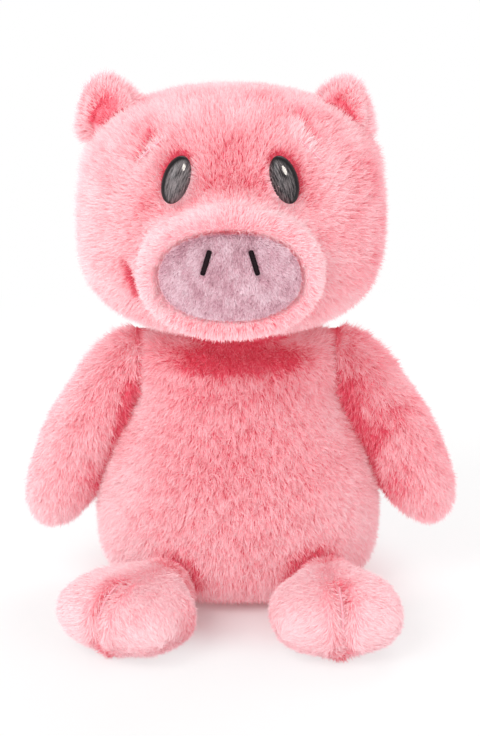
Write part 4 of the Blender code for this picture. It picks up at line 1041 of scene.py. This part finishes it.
def armFrame(side):
    lean = math.radians(arms["lean"][side])
    origin = np.array([side * arms["shoulder"][side], 0.0, arms["shoulderHeight"]])
    across, down = [side * math.cos(lean), 0, math.sin(lean)], [side * math.sin(lean), 0, -math.cos(lean)]
    return origin, np.array([across, [0, -1, 0], down])


def armGrid(side):
    # a drop that curves outwards, cut flat towards the body and sloped where the arm lifts
    inset = arms["skinInset"]
    along = alongAxis(-arms["top"] + inset, arms["reach"] - inset, arms["rows"])
    above = (arms["swell"] - along) / (arms["swell"] + arms["top"] - inset)
    below = (along - arms["swell"]) / (arms["reach"] - arms["swell"] - inset)
    size = np.where(along < arms["swell"], taper(np.clip(above, 0, 1), 6.0, 2.0),
                    taper(np.clip(below, 0, 1), 2.2, 2.0))
    swing = np.clip((along + arms["top"]) / (arms["swell"] + arms["top"]), 0, 1)
    outward = arms["outward"] * np.sin(swing * math.pi / 2) ** 1.4 + arms["tipKick"] * ease(below)
    local = superSection(along, (arms["halfThickness"] - inset) * size, (arms["halfWidth"] - inset) * size,
                         arms["sides"], shiftA=outward)
    slope = math.tan(math.radians(arms["lift"]))
    nearest = arms["face"] + arms["faceInset"] + slope * np.maximum(-local[..., 2] - arms["liftStart"], 0)
    local[..., 0] = np.maximum(local[..., 0], nearest)
    origin, axes = armFrame(side)
    return placed(local, origin, axes)


def armCoat(side):
    origin, axes = armFrame(side)

    def coat(points, normals):
        local = (points - origin) @ axes.T
        a, b, c = local.T
        comb = alongSkin(axes[2] - 0.12 * axes[0], normals)
        inner = ease((5.5 - a) / 3) * ease(-(normals @ axes[0]) * 2)
        tones = arms["tones"]
        # painted light: the left arm paler than the right, and each arm paler on its outer side, from the key
        # on the left
        tone = tones["base"][side] + tones["patches"] * ripple(points, 24, 87)
        # the inside term is painted shade on the face towards the body
        tone += tones["mottle"] * ripple(points, 6, 88) - tones["inside"] * inner
        tone += tones["hand"][side] * ease((c - 62) / 26)
        tone += tones["outsideLight"][side] * ease((a - 18) / 14)
        # painted shade along the inner front and at the inner edge, where the arm meets the body
        tone -= tones["innerFrontShade"] * (normals @ axes[1] > 0) * bell(a - 8, 8) * bell(c - 36, 44)
        tone -= tones["innerEdgeShade"] * ease((8 - a) / 5) * ease((c + 4) / 10) * ease((88 - c) / 20)
        slope = ease((-c - arms["liftStart"]) / 4) * ease(-(normals @ axes[0]) * 2)
        shoulder = 0.40 * bell(a - 3, 3) * ease((14 - c) / 10)
        size = 1 + 0.30 * inner + 0.55 * slope + shoulder + 0.45 * ease((16 - c) / 14) * ease((a - 6) / 8)
        keep = np.ones(len(points), bool)
        return {"comb": comb, "tone": tone, "size": size, "keep": keep, "liftMore": 30 * inner}

    return coat


for sideName, side in (("left", -1), ("right", 1)):
    title = sideName.title()
    covered = [f"arm_cover_{sideName}"]
    dress("arm", title, armGrid(side), arms["fur"], armCoat(side), f"{sideName}_arm", covered)
print("arms made")


# legs

def legFrame(side):
    splay = math.radians(legs["splay"][side])
    across = [math.cos(splay), side * math.sin(splay), 0]
    ahead = [side * math.sin(splay), -math.cos(splay), 0]
    return np.array([*legs["hip"][side], 0.0]), np.array([across, [0, 0, 1], ahead])


def legLocal(side, inset):
    # a ball at the hip that spreads into a broad foot, drawn in by a bell between its two toes
    hip, toeWidth = legs["hipRadius"] - inset, legs["toeHalfWidth"][side]
    along = alongAxis(-hip, legs["length"] - inset, legs["rows"])
    spread = ease((along - legs["spreadStart"]) / (legs["spreadEnd"] - legs["spreadStart"]))
    back = taper(np.clip(-along / hip, 0, 1), 2.0, 2.0)
    roundShare = np.clip((along - legs["length"] + legs["roundLength"]) / (legs["roundLength"] - inset), 0, 1)
    dropShare = np.clip((along - legs["length"] + legs["dropLength"]) / (legs["dropLength"] - inset), 0, 1)
    wide = (hip + (toeWidth - legs["hipRadius"]) * spread) * back * taper(roundShare, 3.1, 2.1)
    fullHeight = legs["hipRadius"] + (legs["toeHalfHeight"] - legs["hipRadius"]) * spread
    high = (fullHeight - inset) * back * taper(dropShare, 3.0, 2.0)
    outline = 2.0 + legs["squareness"] * spread
    points = superSection(along, wide, high, legs["sides"], outline, shiftB=fullHeight - 0.5)
    sideways = points[..., 0] * toeWidth / (toeWidth - inset)
    ahead = points[..., 2] * legs["length"] / (legs["length"] - inset)
    forward = ease((ahead - legs["cleftStart"]) / (legs["length"] - legs["cleftStart"]))
    drawn = legs["cleftDepth"] * forward * bell(sideways, legs["cleftHalfWidth"])
    rise = (points[..., 1] - (fullHeight - 0.5)[:, None]) / hip
    points[..., 1] -= drawn * np.clip(rise, 0, 1)
    points[..., 2] -= drawn * taper(rise, 2.0, 2.0) * forward
    points[0], points[-1] = points[0, :1], points[-1].mean(0)
    return points


def legCoat(side):
    origin, axes = legFrame(side)

    def coat(points, normals):
        local = (points - origin) @ axes.T
        a, b, c = local.T
        nearCleft = bell(a, 5.0) * ease((c - 18) / 12)
        sideways = 1.3 * np.clip(local[:, :1] / 12, -1, 1) - 2.2 * np.sign(local[:, :1]) * nearCleft[:, None]
        ahead = alongSkin(0.8 * axes[2] + axes[0] * sideways - 0.35 * axes[1], normals)
        under = ease((8 - b) / 6)[:, None]
        outwards = alongSkin(points - (origin + 20 * axes[2]), normals)
        comb = alongSkin(ahead * (1 - under) + outwards * under, normals)
        # painted shade in the cleft between the toes and round its middle
        cleft = bell(a, 3.4) * ease((c - 14) / 14)
        tones = legs["tones"]
        tone = tones["base"] + tones["patches"] * ripple(points, 10, 97) - tones["cleft"] * cleft
        tone -= tones["toeMiddleShade"] * bell(a, 8) * bell(c - 32, 12)
        # painted shade at the hip where the leg meets the body, under the sole and on the hip's outer side
        tone -= tones["hip"] * ease((6 - c) / 12) + tones["soleShade"] * ease((5 - b) / 4)
        tone -= tones["outerHipShade"] * ease((-side * a - 22) / 10) * ease((34 - c) / 12)
        size = 1 + 0.60 * nearCleft - 0.30 * ease((-c - 4) / 10)
        lay = -16 * ease((c - 4) / 12) + 34 * nearCleft
        return {"comb": comb, "tone": tone, "size": size, "keep": points[:, 2] > 1.2, "liftMore": lay}

    return coat


for sideName, side in (("left", -1), ("right", 1)):
    title = sideName.title()
    surface = placed(legLocal(side, legs["skinInset"]), *legFrame(side))
    covered = [f"leg_cover_{sideName}"]
    dress("leg", title, surface, legs["fur"], legCoat(side), f"{sideName}_leg", covered)
print("legs made")


# tail

tail = {
    "base": (0.0, 61.172, 40.0), "radius": 5.0, "tipRadius": 3.2, "curlRadius": 8.5, "curlLength": 11.0,
    "turns": 1.15, "curlStart": 0.25, "skinInset": 1.0, "rows": 90, "sides": 24,
    "fur": {"density": 6.5, "length": 3.6, "width": 0.38, "lift": 48, "bend": 14, "clump": 3.4,
            "clumpPull": 0.2, "jitter": 0.16, "seed": 101},
}


def tailRoute():
    # one open curl: bend * sin(turn) across, straight back, bend * (1 - cos(turn)) up
    share = np.linspace(0, 1, tail["rows"])
    turn = 2 * math.pi * tail["turns"] * share
    bend = tail["curlRadius"] * ease(share / tail["curlStart"])
    back = tail["radius"] + tail["curlLength"] * share
    curl = np.column_stack([bend * np.sin(turn), back, bend * (1 - np.cos(turn))])
    rootShare = np.array([-0.97, -0.90, -0.80, -0.63, -0.45, -0.2, 0.0])
    root = np.column_stack([0 * rootShare, rootShare * tail["radius"], 0 * rootShare])
    slimmer = 1 + (tail["tipRadius"] / tail["radius"] - 1) * share
    sizes = np.concatenate([np.sqrt(np.maximum(1 - rootShare ** 2, 0)), slimmer])
    return np.array(tail["base"]) + np.concatenate([root, curl]), sizes * tail["radius"]


def tailGrid():
    # rings square to the route, carried along it without twist, rounded at the tip
    route, sizes = tailRoute()
    way = unit(np.gradient(route, axis=0))
    across = np.empty_like(way)
    across[0] = (1, 0, 0)
    for index in range(1, len(way)):
        across[index] = unit(across[index - 1] - way[index] * (across[index - 1] @ way[index]))
    other = np.cross(way, across)
    tip = taper(np.clip((np.arange(len(route)) - len(route) + 10) / 9, 0, 1), 2.0, 2.0)
    sizes = np.maximum(sizes - tail["skinInset"], 0.3) * tip
    sizes[0] = 0
    turn = np.linspace(0, 2 * math.pi, tail["sides"], endpoint=False)
    ring = across[:, None] * np.cos(turn)[:, None] + other[:, None] * np.sin(turn)[:, None]
    return route[:, None] + ring * sizes[:, None, None], route, way


tailSurface, tailPlaces, tailWays = tailGrid()


def tailCoat(points, normals):
    nearest = np.argmin(((points[:, None] - tailPlaces[None, ::3]) ** 2).sum(-1), 1) * 3
    comb = alongSkin(tailWays[nearest], normals)
    tone = 0.62 + 0.1 * ripple(points, 12, 103)
    keep = points[:, 1] > tail["base"][1] - 3
    return {"comb": comb, "tone": tone, "size": np.ones(len(points)), "keep": keep}


dress("tail", "", tailSurface, tail["fur"], tailCoat, "tail_body", ["tail"])
print("tail made")


# fillings, threads and washers

fillings = {
    "body_stuffing": ("torso", "bodyFilling", 0.8), "head_stuffing": ("head", "headFilling", 0.7),
    "muzzle_stuffing": ("head", "muzzleFilling", 0.4),
    "arm_stuffing_left": ("left_arm", "armFillingLeft", 0.6),
    "arm_stuffing_right": ("right_arm", "armFillingRight", 0.6),
    "leg_stuffing_left": ("left_leg", "legFillingLeft", 0.6),
    "leg_stuffing_right": ("right_leg", "legFillingRight", 0.6),
    "pellet_bag": ("torso", "pelletBag", 0.15),
}


def plumpCopy(node, name, lump, material):
    # a merged, finer copy of a filling: each point moves out along its normal by lump * (0.5 + 0.5 * waves)
    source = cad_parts[node]
    shape = bmesh.new()
    shape.from_mesh(source.data)
    bmesh.ops.remove_doubles(shape, verts=shape.verts, dist=2e-5)
    bmesh.ops.subdivide_edges(shape, edges=shape.edges, cuts=1, use_grid_fill=True)
    shape.normal_update()
    places = np.array([v.co for v in shape.verts]) / toMetres
    outwards = np.array([v.normal for v in shape.verts])
    offNeck = ease((np.linalg.norm(places - neckCentre, axis=-1) - 34) / 8)
    offBag = ease((np.linalg.norm((places - np.array([0, 0, 6])) / np.array([54, 44, 22]), axis=-1) - 1) / 0.2)
    move = lump * (0.5 + 0.5 * np.clip(ripple(places, 16, 111), -1, 1)) * offNeck
    if node == "body_stuffing":
        move = move * offBag
    if node == "pellet_bag":
        move = 0 * move
    for vertex, place in zip(shape.verts, (places + outwards * move[:, None]) * toMetres):
        vertex.co = place
    mesh = bpy.data.meshes.new(name)
    shape.to_mesh(mesh)
    shape.free()
    mesh.shade_smooth()
    mesh.set_sharp_from_angle(angle=math.radians(50))
    return addObject(name, mesh, material)


for node, (bodyName, name, lump) in fillings.items():
    bag = node == "pellet_bag"
    filling = plumpCopy(node, name, lump, cottonMaterial if bag else stuffingMaterial)
    enter(filling, bodyName, [node])

for node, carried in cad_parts.items():
    if carried.hide_render:
        continue
    finish = washerMaterial if "washer" in node else browThreadMaterial if "brow" in node else threadMaterial
    if node.startswith("toe"):
        finish = browThreadMaterial
    # the seams at the shoulders, hips and neck take the crimson thread, painted shade of the creases that they
    # lie in
    if node.startswith(("shoulder", "hip", "neck")):
        finish = creaseShadeThreadMaterial
    for place in carried.material_slots:
        place.material = finish
print("fillings and threads made")


# floor, light and camera

stage = {"halfSize": 6.0, "plainFrom": 0.34, "plainTo": 0.62, "selfLit": 0.66,
         "seatLit": 0.15, "seatFrom": 0.06, "seatTo": 0.105, "backdrop": 0.66}   # metres, and shares of white


def floorMaterial():
    # near the pig a white floor that keeps the shadow, and plain white further out for the camera alone
    material, tree, surface = newMaterial("paleFloor", {"Roughness": 0.9, "Specular IOR Level": 0.0,
                                                        "Base Color": (0.97, 0.97, 0.97)})
    where = addNode(tree, "TexCoord", {}).outputs["Object"]
    length = addNode(tree, "VectorMath", {0: where}, operation="LENGTH").outputs["Value"]
    reach = ranged(tree, length, stage["plainFrom"], stage["plainTo"], stage["selfLit"])
    seat = ranged(tree, length, stage["seatFrom"], stage["seatTo"], stage["seatLit"])
    cameraRay = addNode(tree, "LightPath", {}).outputs["Is Camera Ray"]
    share = mathNode(tree, "MULTIPLY", mathNode(tree, "MULTIPLY", reach, seat), cameraRay)
    glow = addNode(tree, "Emission", {"Strength": 1.0}).outputs[0]
    shaded = tree.nodes["Principled BSDF"].outputs[0]
    mixed = addNode(tree, "MixShader", {0: share, 1: shaded, 2: glow}).outputs[0]
    fill(tree, tree.nodes["Material Output"].inputs["Surface"], mixed)
    return material


half = stage["halfSize"] / toMetres
floor = makeMesh("floor", [(-half, -half, 0), (half, -half, 0), (half, half, 0), (-half, half, 0)],
                 [0, 1, 2, 3], [0], floorMaterial(), smooth=False)

world = bpy.data.worlds.new("studio")
bpy.context.scene.world = world
world.use_nodes = True
sky = world.node_tree
backdrop = sky.nodes["Background"].inputs
fill(sky, backdrop["Color"], (1.0, 1.0, 1.0))
cameraRay = addNode(sky, "LightPath", {}).outputs["Is Camera Ray"]
fill(sky, backdrop["Strength"], ranged(sky, cameraRay, 0, 1, stage["backdrop"], smooth=False))

lights = {  # place, aim, size and power in watts
    "key": ((-0.85, -1.05, 1.25), (0.0, 0.0, 0.12), 1.1, 12.0),
    "fill": ((1.15, -0.95, 0.75), (0.0, 0.0, 0.12), 1.0, 2.0),
    "front": ((-0.25, -1.35, 0.30), (0.0, 0.0, 0.10), 1.2, 5.0),
    "rim": ((0.25, 0.95, 1.15), (0.0, 0.0, 0.15), 1.0, 7.0),
    "glint": ((0.50, -0.85, 1.02), (0.0, -0.05, 0.22), 0.50, 25.0),
}
for name, (place, aim, size, power) in lights.items():
    lamp = bpy.data.lights.new(name, "AREA")
    lamp.shape = "DISK"
    lamp.size = size
    lamp.energy = power
    holder = bpy.data.objects.new(name, lamp)
    holder.location = place
    if name == "glint":
        lamp.color = (1.0, 0.93, 0.84)
        holder.visible_diffuse = False
    way = np.array(place) - np.array(aim)
    holder.rotation_euler = (math.atan2(math.hypot(way[0], way[1]), way[2]), 0, math.atan2(way[0], -way[1]))
    bpy.context.scene.collection.objects.link(holder)

camera = {"place": (0.001, -0.966, 0.394), "pitch": 16.23, "lens": 150.0}
lensData = bpy.data.cameras.new("camera")
lensData.lens = camera["lens"]
lensData.sensor_fit = "HORIZONTAL"
lensData.sensor_width = 36.0
lensData.clip_start = 0.05
viewer = bpy.data.objects.new("camera", lensData)
viewer.location = camera["place"]
viewer.rotation_euler = (math.radians(90 - camera["pitch"]), 0, 0)
bpy.context.scene.collection.objects.link(viewer)
bpy.context.scene.camera = viewer
bpy.context.scene.view_settings.view_transform = "Standard"
print("stage made")
